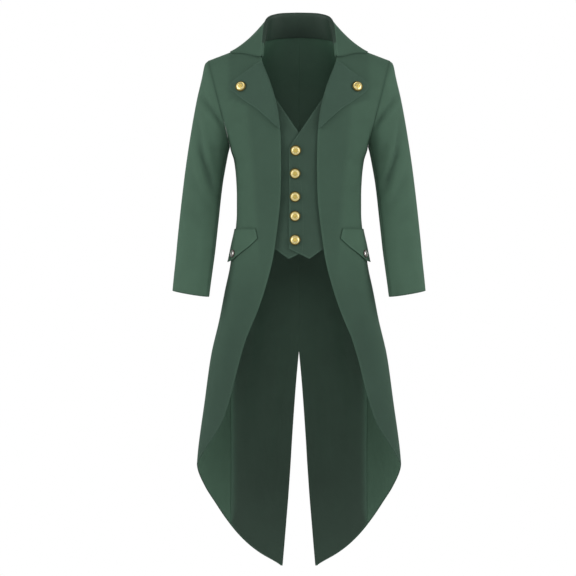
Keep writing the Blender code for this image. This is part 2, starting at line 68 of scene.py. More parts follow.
NECK_X = 92.0          # x of the shoulder seam's neck end
SHOULDER = (227.5, -52.0)    # x and z of its outer end
ARMPIT = (172.0, -267.0)     # x and z of the armhole's foot
SEAM_Y = 8.0           # y of the shoulder seam
NAPE = (78.0, 12.0)    # y and z of the neck edge at the centre back
ROUND_DROP = 150.0     # how far down the shoulder's rounding reaches
ROUND_POWER = 0.62
SECTION_POWER = 2.3    # of the body's section, where 2 would be an ellipse
ARMHOLE_DEPTH = {"front": 74.0, "back": 82.0}
ARMHOLE_MIDDLE = -172.0
SIDE_TURN = (42.0, 120.0)    # degrees that the section's end turns by, and the rise it takes
SIDE_END = -1060.0     # z of the side seam's foot
FRONT_END = -1059.5    # z of the last row of each panel
BACK_END = -1318.0
LINING_END = -1312.0
LINING_X = 172.0       # the furthest out that the lining's edge goes
LINING_SHARE = 0.93    # and its most as a share of the half-width
LINING_HEM = 2.2       # how far the lining stops short of the tail's edge
LINING_FADE = 10.0     # how far the lining has paled in from its outer edge
HEM_TURN = 4.6         # what the turned hem adds to the tail's outline
INNER_SEAM = 150.0     # turns round the sleeve, in degrees
BACK_SEAM = 280.0
FOLD_RADIUS = 3.2      # of the collar's fold
FALL_LIFT = 3.2        # how high the middle of the collar's cloth rides over the shoulder
EDGE_LIFT = 1.6        # how far the fall's edge rides off the coat

# Painted shade, from 0 to 1: how far the cloth's colour is darkened to stand in for shade
SKIRT_PAINTED_SHADE = ((-1100, -640, -480), (1.0, 0.58, 0.15))    # at these heights
FRONT_PAINTED_SHADE = 0.45       # on the fronts, inside the painted shade's line further down
COLLAR_PAINTED_SHADE = 0.22
FOLD_PAINTED_SHADE = 0.38        # painted shade along the bottom of a crease
INNER_PAINTED_SHADE = 0.05       # how much of the painted shade shows on the cloth's inside

# Buttons: places are x and z, or the girth share and z. Sizes are over the dark rim.
VEST_BUTTONS = ((-8.5, -278.0), (-10.0, -335.5), (-10.0, -393.0), (-10.0, -441.0), (-10.0, -500.0))
LAPEL_BUTTON = (144.0, -119.5)
FLAP_BUTTON = (0.79, -535.0)
BIG_BUTTON = 27.0
SMALL_BUTTON = 20.0
BUTTON_GAP = 0.8

# Edge stitching
STITCH_PITCH = 3.2
STITCH_LENGTH = 2.3
STITCH_THICK = 0.55
STITCH_INSET = 4.0


class Table:
    """Rows with named columns, sorted by the first one. Between rows, values follow a smooth
    curve that doesn't overshoot."""

    def __init__(self, names, *rows):
        rows = np.array(sorted(rows), float)
        self.columns = dict(zip(names.split(), rows.T))
        self.keys = rows[:, 0]

    def __call__(self, name, key):
        xs, ys = self.keys, self.columns[name]
        key = np.clip(key, xs[0], xs[-1])
        step, rise = np.diff(xs), np.diff(ys)
        slope = rise / step
        inner = np.where(slope[1:] * slope[:-1] > 0,
                         2 * slope[1:] * slope[:-1] / (slope[1:] + slope[:-1] + 1e-30), 0.0)
        tangent = np.concatenate([slope[:1], inner, slope[-1:]])
        i = np.clip(np.searchsorted(xs, key) - 1, 0, len(step) - 1)
        t = (key - xs[i]) / step[i]
        return (ys[i] + rise[i] * t * t * (3 - 2 * t)
                + step[i] * t * (1 - t) * (tangent[i] * (1 - t) - tangent[i + 1] * t))


BODY = Table(
    "z     half_width front  back",
    (60, 172.0, 80.0, 92.0), (-52, 172.0, 92.0, 99.0), (-120, 172.0, 106.0, 108.0),
    (-190, 172.0, 115.0, 112.0), (-267, 172.0, 117.0, 108.0), (-302, 162.5, 115.0, 103.0),
    (-344, 157.5, 111.0, 96.0), (-390, 155.5, 106.0, 90.0), (-432, 155.5, 103.0, 88.0),
    (-469, 158.0, 103.0, 92.0), (-510, 165.0, 106.0, 102.0), (-566, 172.5, 110.0, 115.0),
    (-625, 185.0, 114.0, 124.0), (-700, 199.5, 118.0, 129.0), (-789, 220.0, 122.0, 133.0),
    (-907, 236.5, 126.0, 138.0), (-1025, 252.5, 130.0, 143.0), (-1060, 255.5, 131.0, 145.0),
    (-1320, 275.0, 140.0, 156.0),
)

FRONT_EDGE = Table(
    "z x",
    (0, 92.0), (-43, 94.0), (-54, 92.0), (-92, 77.5), (-126, 65.5), (-170, 54.0), (-224, 47.0),
    (-316, 45.0), (-399, 47.0), (-445, 51.5), (-501, 58.5), (-547, 65.5), (-600, 78.5),
    (-661, 97.5), (-708, 116.0), (-746, 132.0), (-798, 148.0), (-878, 168.0), (-950, 191.0),
    (-1010, 227.0), (-1037, 244.0), (-1060, 255.5),
)

TAIL = Table(
    "z hem vent",
    (-777, 236.0, 0.0), (-860, 241.0, 7.5), (-1001, 250.0, 17.5), (-1060, 255.5, 21.0),
    (-1119, 230.5, 25.0), (-1157, 207.0, 27.8), (-1195, 182.0, 31.0), (-1235, 151.0, 34.3),
    (-1265, 121.0, 36.8), (-1287, 92.0, 38.7), (-1314, 46.0, 41.0), (-1320, 38.5, 41.5),
)

SLEEVE = Table(
    "ring out_x out_z in_x in_z depth forward armhole",
    (0, 227.5, -52.0, 172.0, -267.0, 76.0, -4.0, 1.0),
    (1, 234.0, -62.0, 173.5, -272.0, 76.0, -4.0, 0.90),
    (2, 241.5, -92.0, 176.0, -281.0, 75.0, -4.0, 0.60),
    (3, 252.5, -136.0, 179.5, -298.0, 72.0, -4.0, 0.25),
    (4, 263.5, -192.0, 184.0, -322.0, 68.0, -4.0, 0.0),
    (5, 273.5, -252.0, 189.5, -354.0, 64.0, -3.0, 0.0),
    (6, 283.0, -316.0, 194.5, -393.0, 60.0, 0.0, 0.0),
    (7, 290.5, -376.0, 199.0, -436.0, 56.5, 5.0, 0.0),
    (8, 297.0, -434.0, 204.0, -482.0, 53.5, 12.0, 0.0),
    (9, 303.0, -492.0, 209.0, -528.0, 50.0, 21.0, 0.0),
    (10, 308.0, -547.0, 215.0, -573.0, 46.5, 31.0, 0.0),
    (11, 312.5, -590.0, 220.0, -610.0, 44.0, 39.0, 0.0),
    (12, 316.0, -625.0, 224.0, -640.0, 42.0, 46.0, 0.0),
)

COLLAR = Table(
    "along foot_x foot_y foot_z fold_x fold_y fold_z fall_x fall_down sag roll",
    (0.00, 90.5, -54.0, -43.0, 92.5, -63.0, -40.0, 167.0, -5.5, 0.5, 0.0),
    (0.12, 90.5, -33.0, -22.0, 90.5, -44.0, -12.0, 170.5, -1.4, 0.0, 0.0),
    (0.25, 90.3, -10.0, -5.0, 88.0, -20.0, 20.0, 171.5, 1.5, -1.5, 0.0),
    (0.40, 89.0, 11.5, 1.9, 85.0, 8.0, 42.0, 163.5, 12.0, -2.0, 0.0),
    (0.60, 78.0, 45.5, 5.6, 73.0, 40.0, 59.0, 128.0, 28.0, -0.5, 3.5),
    (0.80, 43.5, 68.5, 12.0, 41.0, 60.0, 67.0, 70.0, 44.0, 1.0, 7.0),
    (1.00, 0.0, 75.0, 14.5, 0.0, 66.0, 68.5, 0.0, 54.0, 0.0, 9.0),
)

LAPEL = Table(
    "down roll_z free_x free_z",
    (0.00, -55.0, 95.5, -55.5), (0.20, -82.0, 125.0, -77.0), (0.45, -110.0, 173.0, -119.5),
    (0.60, -138.0, 150.0, -143.0), (0.80, -178.0, 102.0, -177.0), (1.00, -222.0, 51.0, -223.0),
)

VEST = Table(
    "x top bottom",
    (-25, -270.5, -523.0), (0, -234.0, -534.5), (26, -196.0, -547.0), (61, -145.0, -522.5),
    (92, -108.0, -518.0), (118, -92.0, -516.0),
)

FLAP = Table(
    "out share_top share_low top bottom",
    (0.00, 0.450, 0.405, -471.0, -497.0), (0.18, 0.545, 0.505, -470.5, -516.0),
    (0.45, 0.690, 0.672, -471.0, -537.0), (0.75, 0.850, 0.850, -472.0, -553.0),
    (1.00, 0.985, 0.985, -473.0, -556.0),
)

# ---------------------------------------------------------------- creases
# Each is a line of x and z as seen from the front or the back: a trough where depth is positive,
# with a soft ridge beside it, to the left of its way along where ridge is positive and to the
# right where it is negative. The right side's depth is a share of the left's.

CREASES = {
    "sleeve": (
        # side    width depth ridge right  line
        ("front", 7.0, 8.0, 0.6, 0.92, ((246, -134), (229, -160), (208, -188), (186, -220))),
        ("front", 9.5, 9.5, -0.55, 1.05,
         ((256, -186), (249, -250), (239, -300), (223, -354), (200, -412))),
        ("front", 15.0, 6.5, 0.3, 1.0, ((212, -258), (219, -306), (215, -350), (204, -384))),
        ("front", 12.0, 4.0, -0.5, 0.8, ((280, -300), (262, -352), (240, -398), (214, -436))),
        ("front", 14.0, 3.0, 0.5, 1.2, ((290, -392), (268, -436), (236, -472))),
        ("front", 16.0, 2.4, -0.4, 1.0, ((262, -470), (264, -540), (258, -604))),
        ("back", 8.0, 6.2, -0.5, 1.1, ((244, -150), (222, -186), (198, -228))),
        ("back", 11.0, 8.0, 0.5, 0.9, ((262, -214), (250, -270), (228, -320), (200, -358))),
        ("back", 9.0, 6.0, -0.6, 1.1, ((286, -344), (262, -366), (236, -378), (208, -380))),
        ("back", 8.0, 5.0, -0.6, 0.8, ((290, -390), (264, -404), (238, -410), (210, -404))),
        ("back", 10.0, 4.2, 0.5, 1.1, ((294, -428), (268, -446), (240, -452))),
        ("back", 15.0, 3.0, -0.4, 1.0, ((276, -486), (270, -550), (262, -606))),
    ),
    "body": (
        ("front", 6.0, 1.1, 0.5, 1.0, ((131, -158), (124, -250), (114, -360), (107, -462))),
        ("front", 13.0, 2.2, -0.4, 0.8, ((170, -286), (150, -304), (126, -312))),
        ("front", 11.0, 1.6, 0.5, 1.2, ((156, -356), (140, -372), (122, -376))),
        ("front", 22.0, 2.8, 0.4, 0.9, ((140, -600), (158, -720), (186, -850), (214, -950))),
        ("front", 18.0, 2.0, -0.4, 1.1, ((180, -580), (200, -700), (216, -820), (228, -900))),
        ("back", 20.0, 2.6, 0.4, 0.9, ((166, -150), (140, -200), (118, -268), (104, -330))),
        ("back", 12.0, 2.2, -0.5, 1.1, ((40, -392), (84, -404), (126, -396), (152, -378))),
        ("back", 10.0, 2.0, 0.5, 0.9, ((22, -448), (62, -452), (104, -444), (140, -426))),
        ("back", 24.0, 5.0, 0.5, 0.9,
         ((96, -560), (112, -700), (134, -860), (158, -1020), (176, -1140))),
        ("back", 20.0, 3.6, -0.5, 1.1,
         ((40, -620), (50, -760), (66, -920), (84, -1090), (94, -1240))),
        ("back", 20.0, 3.0, 0.4, 0.9, ((168, -620), (190, -760), (212, -900), (226, -1010))),
    ),
    "waistcoat": (
        ("front", 5.0, 0.7, 0.6, 1.0, ((-4, -306), (14, -300), (36, -306))),
        ("front", 5.0, 0.6, -0.6, 1.0, ((-2, -362), (16, -366), (38, -360))),
        ("front", 5.0, 0.7, 0.6, 1.0, ((-4, -416), (14, -420), (34, -412))),
        ("front", 5.0, 0.6, -0.6, 1.0, ((-2, -470), (16, -466), (36, -472))),
    ),
}

# Inside this line of z and x, painted shade darkens the front.
PAINTED_SHADE_LINE = ((-560, -462, -360, -250, -165, -150, 0), (104, 107, 114, 124, 133, 178, 178))

# ---------------------------------------------------------------- forms of the coat


def cos_power(angle):
    return np.abs(np.cos(angle)) ** (2 / SECTION_POWER)


def half_width(z):
    """Half-width at the side seam, or at the armhole's straight front-view line above it."""
    rise = (SHOULDER[0] - ARMPIT[0]) / (SHOULDER[1] - ARMPIT[1])
    return np.where(z > ARMPIT[1], ARMPIT[0] + rise * (z - ARMPIT[1]), BODY("half_width", z))


def end_angle(z):
    """The section's angle at the armhole. It is a right angle at the side seam."""
    degrees, rise = SIDE_TURN
    t = np.clip((z - ARMPIT[1]) / rise, 0, 1)
    return np.radians(90 - degrees * t * t * (3 - 2 * t))


def armhole_depth(side, z):
    t = np.clip((ARMHOLE_MIDDLE - z) / (ARMHOLE_MIDDLE - ARMPIT[1]), 0, 1)
    return ARMHOLE_DEPTH[side] * np.sqrt(1 - t * t)


def top_line(side, x):
    """y and z of the shoulder seam, and on the back of the neck edge, at a distance x out."""
    slope = (0 - SHOULDER[1]) / (SHOULDER[0] - NECK_X)
    seam_z = -slope * np.maximum(x - NECK_X, 0)
    seam_y = np.full_like(x, SEAM_Y)
    if side == "back":
        inward = np.clip(1 - (x / NECK_X) ** 2.4, 0, 1)
        seam_y = seam_y + (NAPE[0] - SEAM_Y) * np.sqrt(inward)
        seam_z = seam_z + NAPE[1] * np.clip(1 - (x / NECK_X) ** 2, 0, 1)
    return seam_y, seam_z


def coat_point(side, share, z):
    """Points on the coat's outside, x positive. share is 0 on the centre line and 1 at the side."""
    share, z = np.broadcast_arrays(np.asarray(share, float), np.asarray(z, float))
    last = end_angle(z)
    angle = share * last
    x = half_width(z) * (np.sin(angle) / np.sin(last)) ** (2 / SECTION_POWER)
    edge = armhole_depth(side, z)
    middle = BODY(side, z)
    out = edge + (middle - edge) * (cos_power(angle) - cos_power(last)) / (1 - cos_power(last))
    sign = -1 if side == "front" else 1
    top_y, top_z = top_line(side, x)
    drop = np.clip((top_z - z) / ROUND_DROP, 0, 1)
    rounded = (1 - (1 - drop) ** 2) ** ROUND_POWER
    out = sign * top_y + (out - sign * top_y) * rounded
    return np.stack([x, sign * out, z], -1)


def coat_normal(side, share, z):
    small = 1e-4
    low, high = np.clip(share - small, 0, 1), np.clip(share + small, 0, 1)
    across = coat_point(side, high, z) - coat_point(side, low, z)
    top = top_line(side, coat_point(side, share, z)[..., 0])[1]
    up = coat_point(side, share, np.minimum(z + 0.02, top)) - coat_point(side, share, z - 0.02)
    normal = np.cross(across, up)
    if side == "back":
        normal = -normal
    return unit(normal)


def unit(vectors):
    return vectors / np.maximum(np.linalg.norm(vectors, axis=-1, keepdims=True), 1e-12)


def share_at(x, z):
    """The girth share at which the coat has this x at this height."""
    last = end_angle(z)
    ratio = np.clip(np.abs(x) / half_width(z), 0, 1) ** (SECTION_POWER / 2)
    return np.arcsin(np.clip(ratio * np.sin(last), 0, 1)) / last


def level(side, rows, x):
    """Heights of rows at x. A negative row is a height, and any other a share of the yoke."""
    return np.where(rows < 0, rows, top_line(side, x)[1] * (1 - rows) + ARMPIT[1] * rows)


def settle(side, rows, share):
    """Heights at which each row passes through its girth shares."""
    z = level(side, rows, np.full(share.shape, 150.0))
    for _ in range(12):
        z = level(side, rows, coat_point(side, share, z)[..., 0])
    return z


def row_ends(side, rows, left_x, right_x):
    """Girth shares at which each row meets the edges left_x(z) and right_x(z)."""
    ends = np.tile([0.5, 1.0], (len(rows), 1))
    for _ in range(12):
        z = settle(side, rows, ends)
        ends = share_at(np.stack([left_x(z[:, 0]), right_x(z[:, 1])], 1), z)
    return ends


def spread(length, count):
    """count and a few more shares of a length, with points close to both of its ends."""
    near = np.array(NEAR_EDGE) * min(1.0, length / 30.0)
    middle = np.linspace(near[-1], length - near[-1], count)
    return np.concatenate([near[:-1], middle, length - near[-2::-1]]) / length


def lengths(points, axis):
    """Distance travelled along each row or column of a grid."""
    step = np.linalg.norm(np.diff(points, axis=axis), axis=-1)
    start = np.zeros_like(np.take(step, [0], axis))
    return np.concatenate([start, np.cumsum(step, axis)], axis)


def panel(side, rows, left_x, right_x, count):
    """Girth shares and heights of a panel's points, row by row between its two edges."""
    rows = np.array(rows)[:, None]
    ends = row_ends(side, rows, left_x, right_x)
    start, width = ends[:, :1], ends[:, 1:] - ends[:, :1]
    trial = start + width * np.linspace(0, 1, 12)
    across = lengths(coat_point(side, trial, settle(side, rows, trial)), 1)[:, -1]
    share = start + width * np.array([spread(length, count) for length in across])
    return share, settle(side, rows, share)


def panel_rows(end, near=NEAR_EDGE):
    """Rows from the shoulder seam to a height: dense at both ends and even in between."""
    yoke = list(np.linspace(0, 1, 40) ** 1.55)
    below = list(np.arange(ARMPIT[1] - STEP, end + near[-1], -STEP))
    return yoke + below + [end + gap for gap in near[::-1]]


def coat_at(side, x, z, depth):
    """Points seen from the front at x and z, x of either sign, at a depth under the outside."""
    x, z = np.broadcast_arrays(np.asarray(x, float), np.asarray(z, float))
    share = share_at(x, z)
    points = coat_point(side, share, z) - depth * coat_normal(side, share, z)
    points[..., 0] *= np.where(x < 0, -1, 1)
    return points


def armhole_y(side, z):
    return coat_point(side, np.ones_like(z), z)[..., 1]


def sleeve_point(ring, turn):
    """A point on a sleeve: turn is in degrees from its outer line, by way of the front."""
    ring, turn = np.broadcast_arrays(np.asarray(ring, float), np.radians(turn))
    column = {name: SLEEVE(name, ring) for name in SLEEVE.columns}
    inward = (1 - np.cos(turn)) / 2
    x = column["out_x"] + (column["in_x"] - column["out_x"]) * inward
    z = column["out_z"] + (column["in_z"] - column["out_z"]) * inward
    arm_z = SHOULDER[1] + (ARMPIT[1] - SHOULDER[1]) * inward
    seam = np.where(np.sin(turn) > 0, armhole_y("front", arm_z), armhole_y("back", arm_z))
    y = -column["forward"] - column["depth"] * np.sin(turn)
    return np.stack([x, seam * column["armhole"] + y * (1 - column["armhole"]), z], -1)


def coat_height(x, y):
    """How high the coat's shoulder is under a point, or far down where it isn't under it."""
    height = np.full_like(x, -1000.0)
    for side, sign in (("front", -1), ("back", 1)):
        top_y, high = top_line(side, x)
        low = high - ROUND_DROP
        for _ in range(24):
            middle = (low + high) / 2
            short = sign * coat_point(side, share_at(x, middle), middle)[..., 1] < sign * y
            low, high = np.where(short, low, middle), np.where(short, middle, high)
        reached = (sign * (y - top_y) >= 0) & (high > top_line(side, x)[1] - ROUND_DROP + 1)
        height = np.where(reached, high, height)
    return height


# ---------------------------------------------------------------- creases and shells


def rounded_line(points):
    """A line of points with its corners cut three times over."""
    line = np.array(points, float)
    for _ in range(3):
        quarter = line[:-1] * 0.75 + line[1:] * 0.25
        three = line[:-1] * 0.25 + line[1:] * 0.75
        line = np.concatenate([line[:1], np.stack([quarter, three], 1).reshape(-1, 2), line[-1:]])
    return line


def near_line(x, z, line):
    """Signed distance to a line, positive on its left, and the share of its length there."""
    best = np.full(x.shape, 1e9)
    signed, along = np.zeros(x.shape), np.zeros(x.shape)
    step = np.diff(line, axis=0)
    reach = np.concatenate([[0], np.cumsum(np.linalg.norm(step, axis=1))])
    for (ax, az), (dx, dz), start in zip(line, step, reach):
        size = np.hypot(dx, dz)
        t = np.clip(((x - ax) * dx + (z - az) * dz) / size ** 2, 0, 1)
        away = np.hypot(x - ax - dx * t, z - az - dz * t)
        closer = away < best
        best = np.where(closer, away, best)
        side = np.sign((z - az) * dx - (x - ax) * dz)
        signed = np.where(closer, away * side, signed)
        along = np.where(closer, (start + t * size) / reach[-1], along)
    return signed, along


def creased(points, normals, kind, hand):
    """Heights of the creases of one kind at these points."""
    lift = np.zeros(points.shape[:-1])
    for side, width, depth, ridge, right, line in CREASES[kind]:
        facing = np.clip(normals[..., 1] * (-1 if side == "front" else 1) / 0.35, 0, 1)
        signed, along = near_line(points[..., 0], points[..., 2], rounded_line(line))
        ends = np.sin(pi * np.clip(along, 0.001, 0.999)) ** 0.8
        swell = 0.82 + 0.18 * np.sin(along * 9.0 + width)
        trough = -np.exp(-(signed / width) ** 2)
        off_ridge = (signed * np.sign(ridge) - 1.7 * width) / (1.1 * width)
        beside = abs(ridge) * np.exp(-off_ridge ** 2)
        amount = depth * (right if hand == "right" else 1.0)
        lift += amount * ends * swell * facing ** 2 * (3 - 2 * facing) * (trough + beside)
    return lift


def grid_normals(points):
    """Normals of a grid of points, from its own rows and columns."""
    return unit(np.cross(np.gradient(points, axis=1), np.gradient(points, axis=0)))


class Sheet:
    """A cloth piece's outside as a grid of points in millimetres, with its way out. free names its
    edges that are coloured paler (on the coat's cloth, wear and a painted highlight); fade is how
    far in an edge's mark reaches, and nap is how far painted shade darkens it."""

    def __init__(self, outer, way_out, thick=CLOTH, free="", painted_shade=0.0):
        self.outer, self.thick, self.free = outer, thick, free.split()
        normals = grid_normals(outer)
        if (normals * way_out).sum() < 0:
            normals = -normals
        self.normals, self.fade = normals, 3.5
        self.painted_shade = np.broadcast_to(np.asarray(painted_shade, float), outer.shape[:2])

    def mirrored(self):
        made = copy.copy(self)
        made.outer, made.normals = self.outer * (-1, 1, 1), self.normals * (-1, 1, 1)
        return made

    def from_edges(self):
        """Each point's distance from each edge of the sheet."""
        across, down = lengths(self.outer, 1), lengths(self.outer, 0)
        return {"first_column": across, "last_column": across[:, -1:] - across,
                "first_row": down, "last_row": down[-1:] - down}

    def line(self, edge, inset, start=0.0, end=1.0, lift=0.0):
        """Points and normals along an edge, a little way in from it. Edges are first_column,
        last_column, first_row and last_row."""
        points, normals = self.outer, self.normals
        if edge.endswith("row"):
            points, normals = points.transpose(1, 0, 2), normals.transpose(1, 0, 2)
        if edge.startswith("last"):
            points, normals = points[:, ::-1], normals[:, ::-1]
        away = lengths(points, 1)
        rows = range(int(start * (len(points) - 1)), int(round(end * (len(points) - 1))) + 1)
        here = [[np.interp(inset, away[r], field[r, :, k]) for k in range(3)]
                for field in (points, normals) for r in rows]
        half = len(here) // 2
        line, up = np.array(here[:half]), unit(np.array(here[half:]))
        return line + up * lift, up


def mesh_from(name, points, faces, looks):
    mesh = bpy.data.meshes.new(name)
    mesh.from_pydata((points * MM).tolist(), [], faces.tolist())
    mesh.shade_smooth()
    for look in looks:
        mesh.materials.append(look)
    made = bpy.data.objects.new(name, mesh)
    coat.objects.link(made)
    return made


RIM = np.linspace(0, pi, 6)


def shell(name, sheet, look):
    """A closed shell of the sheet's thickness, with round edges. Its UV map is the cloth's grain
    in metres. Its attributes edge and seam are 1 at its free and its other edges and fade to 0
    inside: edge is where it is coloured paler, and seam is where painted shade darkens it. Its
    attribute nap, more painted shade, is the sheet's."""
    points, normals, half = sheet.outer, sheet.normals, sheet.thick / 2
    rows, cols = points.shape[:2]
    across, down = lengths(points, 1), lengths(points, 0)
    reach = np.minimum(half, 0.33 * np.minimum(across[:, -1:], np.full(cols, down[-1].max())))
    tangent = np.zeros_like(points)
    tangent[:, 0] += unit(points[:, 0] - points[:, 1])
    tangent[:, -1] += unit(points[:, -1] - points[:, -2])
    tangent[0] += unit(points[0] - points[1])
    tangent[-1] += unit(points[-1] - points[-2])
    on_edge = np.linalg.norm(tangent, axis=-1) > 0
    tangent = unit(tangent)
    middle = points - normals * half - tangent * ((reach - CLOSE) * on_edge)[..., None]
    lengthwise = np.broadcast_to(-down.mean(1, keepdims=True), across.shape)
    grain = np.stack([across - across[:, -1:] / 2, lengthwise], -1)
    # Masks: free edges are coloured paler, partly wear and partly a painted highlight; the other
    # edges get painted shade
    rub_and_highlight, shaded_rim = np.zeros((rows, cols)), np.zeros((rows, cols))
    for edge, distance in sheet.from_edges().items():
        near = np.exp(-(distance / sheet.fade) ** 2)
        if edge in sheet.free:
            rub_and_highlight = np.maximum(rub_and_highlight, near)
        else:
            shaded_rim = np.maximum(shaded_rim, near)

    at = np.arange(rows * cols).reshape(rows, cols)
    quads = np.stack([at[:-1, :-1], at[:-1, 1:], at[1:, 1:], at[1:, :-1]], -1).reshape(-1, 4)
    under = rows * cols
    ring = np.concatenate([at[0, :-1], at[:-1, -1], at[-1, :0:-1], at[:0:-1, 0]])
    flat = middle.reshape(-1, 3)
    flat_normals, flat_tangent = normals.reshape(-1, 3), tangent.reshape(-1, 3)
    flat_reach = np.broadcast_to(reach, (rows, cols)).reshape(-1)
    flat_grain = grain.reshape(-1, 2)
    marks = np.stack([rub_and_highlight, shaded_rim, sheet.painted_shade], -1).reshape(-1, 3)
    parts = [flat + flat_normals * half, flat - flat_normals * half]
    grains, all_marks = [flat_grain, flat_grain], [marks, marks * (1, 1, INNER_PAINTED_SHADE)]
    layers = [ring]
    for number, angle in enumerate(RIM[1:-1]):
        parts.append(flat[ring] + flat_normals[ring] * half * np.cos(angle)
                     + flat_tangent[ring] * (flat_reach[ring] * np.sin(angle))[:, None])
        grains.append(flat_grain[ring])
        all_marks.append(marks[ring])
        layers.append(2 * under + number * len(ring) + np.arange(len(ring)))
    layers.append(ring + under)
    faces = [quads, quads[:, ::-1] + under]
    for above, below in zip(layers, layers[1:]):
        faces.append(np.stack([np.roll(above, -1), above, below, np.roll(below, -1)], -1))
    faces = np.concatenate(faces)
    everything = np.concatenate(parts)
    corner = everything[faces]
    volume = np.einsum("ij,ij->", corner[:, 0], np.cross(corner[:, 1], corner[:, 2]))
    volume += np.einsum("ij,ij->", corner[:, 0], np.cross(corner[:, 2], corner[:, 3]))
    if volume < 0:
        faces = faces[:, ::-1]
    made = mesh_from(name, everything, faces, [look])
    grains, all_marks = np.concatenate(grains) * MM, np.concatenate(all_marks)
    uv = made.data.uv_layers.new(name="grain")
    loops = np.empty(len(made.data.loops), np.int32)
    made.data.loops.foreach_get("vertex_index", loops)
    uv.data.foreach_set("uv", grains[loops].astype(np.float32).ravel())
    for mark, values in zip(("edge", "seam", "painted_shade"), all_marks.T):
        marked = made.data.attributes.new(mark, "FLOAT", "POINT")
        marked.data.foreach_set("value", values.astype(np.float32))
    return made


# ---------------------------------------------------------------- the pieces' outsides


def smooth_step(low, high, value):
    t = np.clip((value - low) / (high - low), 0, 1)
    return t * t * (3 - 2 * t)


def eased(field, shares, heights):
    """A field of the body's points with the sharp turn level with the armpit eased away, except
    at the armhole and the side seam."""
    hold = smooth_step(0.97, 0.80, shares) * smooth_step(70, 25, np.abs(heights - ARMPIT[1]))
    field = field.copy()
    for _ in range(60):
        middle = (field[:-2] + field[2:]) / 2 - field[1:-1]
        field[1:-1] += 0.5 * middle * hold[1:-1, :, None]
    return field


def shade_in_folds(lift):
    """How much painted shade darkens the bottom of a crease."""
    return FOLD_PAINTED_SHADE * np.clip(-lift / 7, 0, 1)


def body_sheet(side, shares, heights, depth, hand, thick):
    """A panel of the body at a depth under its outside, with the body's creases."""
    here = coat_point(side, shares, heights)
    here[..., 1:2] = eased(here[..., 1:2], shares, heights)
    way = unit(eased(coat_normal(side, shares, heights), shares, heights))
    lift = creased(here, way, "body", hand)
    # Painted shade: darker towards the hem, inside the fronts' line and in the bottoms of creases
    painted_shade = np.interp(heights, *SKIRT_PAINTED_SHADE)
    if side == "front":
        inside = smooth_step(12, -12, here[..., 0] - np.interp(heights, *PAINTED_SHADE_LINE))
        painted_shade = np.maximum(painted_shade, FRONT_PAINTED_SHADE * inside)
    free = "first_column" if side == "front" else ""
    return Sheet(here + way * (lift - depth)[..., None], way, thick, free, painted_shade + shade_in_folds(lift))


def roll_edge(z):
    """x of the front's edge, which stops short of the roll line to leave room for the roll."""
    along_roll = smooth_step(-230, -216, z) * smooth_step(-50, -60, z)
    return FRONT_EDGE("x", z) + ROLL_ROOM * along_roll


def front_sheet(hand):
    return body_sheet("front", *front_panel, 0, hand, CLOTH)


def vent_edge(z):
    return TAIL("vent", z)


def back_side(z):
    """x of the back's outer edge: the armhole and the side seam, then the hem."""
    hem = TAIL("hem", z) + HEM_TURN * smooth_step(SIDE_END, SIDE_END - 60, z)
    return np.where(z < SIDE_END - 0.5, hem, half_width(z))


def lining_edge(z):
    return np.minimum(np.minimum(LINING_SHARE * half_width(z), LINING_X), back_side(z) - LINING_HEM)


def back_sheet(hand):
    return body_sheet("back", *back_panel, 0, hand, CLOTH)


def lining_sheet(hand):
    made = body_sheet("back", *lining_panel, CLOTH + SEAM, hand, LINING)
    made.free = ["last_column"]
    made.fade = np.interp(made.outer[..., 2], (-1215, -1175), (1.5, LINING_FADE))
    return made


def sleeve_sheet(start, end, hand):
    rings = np.interp(np.linspace(0, 1, 104), np.linspace(0, 1, len(SLEEVE.keys)), SLEEVE.keys)
    trial = sleeve_point(np.full(30, 5.0), np.linspace(start, end, 30))
    length = lengths(trial[None], 1)[0, -1]
    turns = start + (end - start) * spread(length, int(length / STEP))
    ring, turn = np.meshgrid(rings, turns, indexing="ij")
    here = sleeve_point(ring, turn)
    middle = (sleeve_point(ring, turn) + sleeve_point(ring, turn + 180)) / 2
    flat = Sheet(here, here - middle)
    held = smooth_step(0, 0.9, ring)
    lift = creased(here, flat.normals, "sleeve", hand) * held
    head = (1.6 * smooth_step(0.1, 0.8, ring) * smooth_step(2.8, 1.0, ring)
            * np.clip(np.cos(np.radians(turn)), 0, 1))
    cuff = smooth_step(11.0, 12.0, ring) * (1.5 + 2.5 * np.clip(np.sin(np.radians(turn)), 0, 1))
    here = here + flat.normals * (lift + head)[..., None] - cuff[..., None] * (0, 0, 1)
    # Painted shade in the bottoms of the sleeve's creases
    return Sheet(here, here - middle, painted_shade=shade_in_folds(lift))


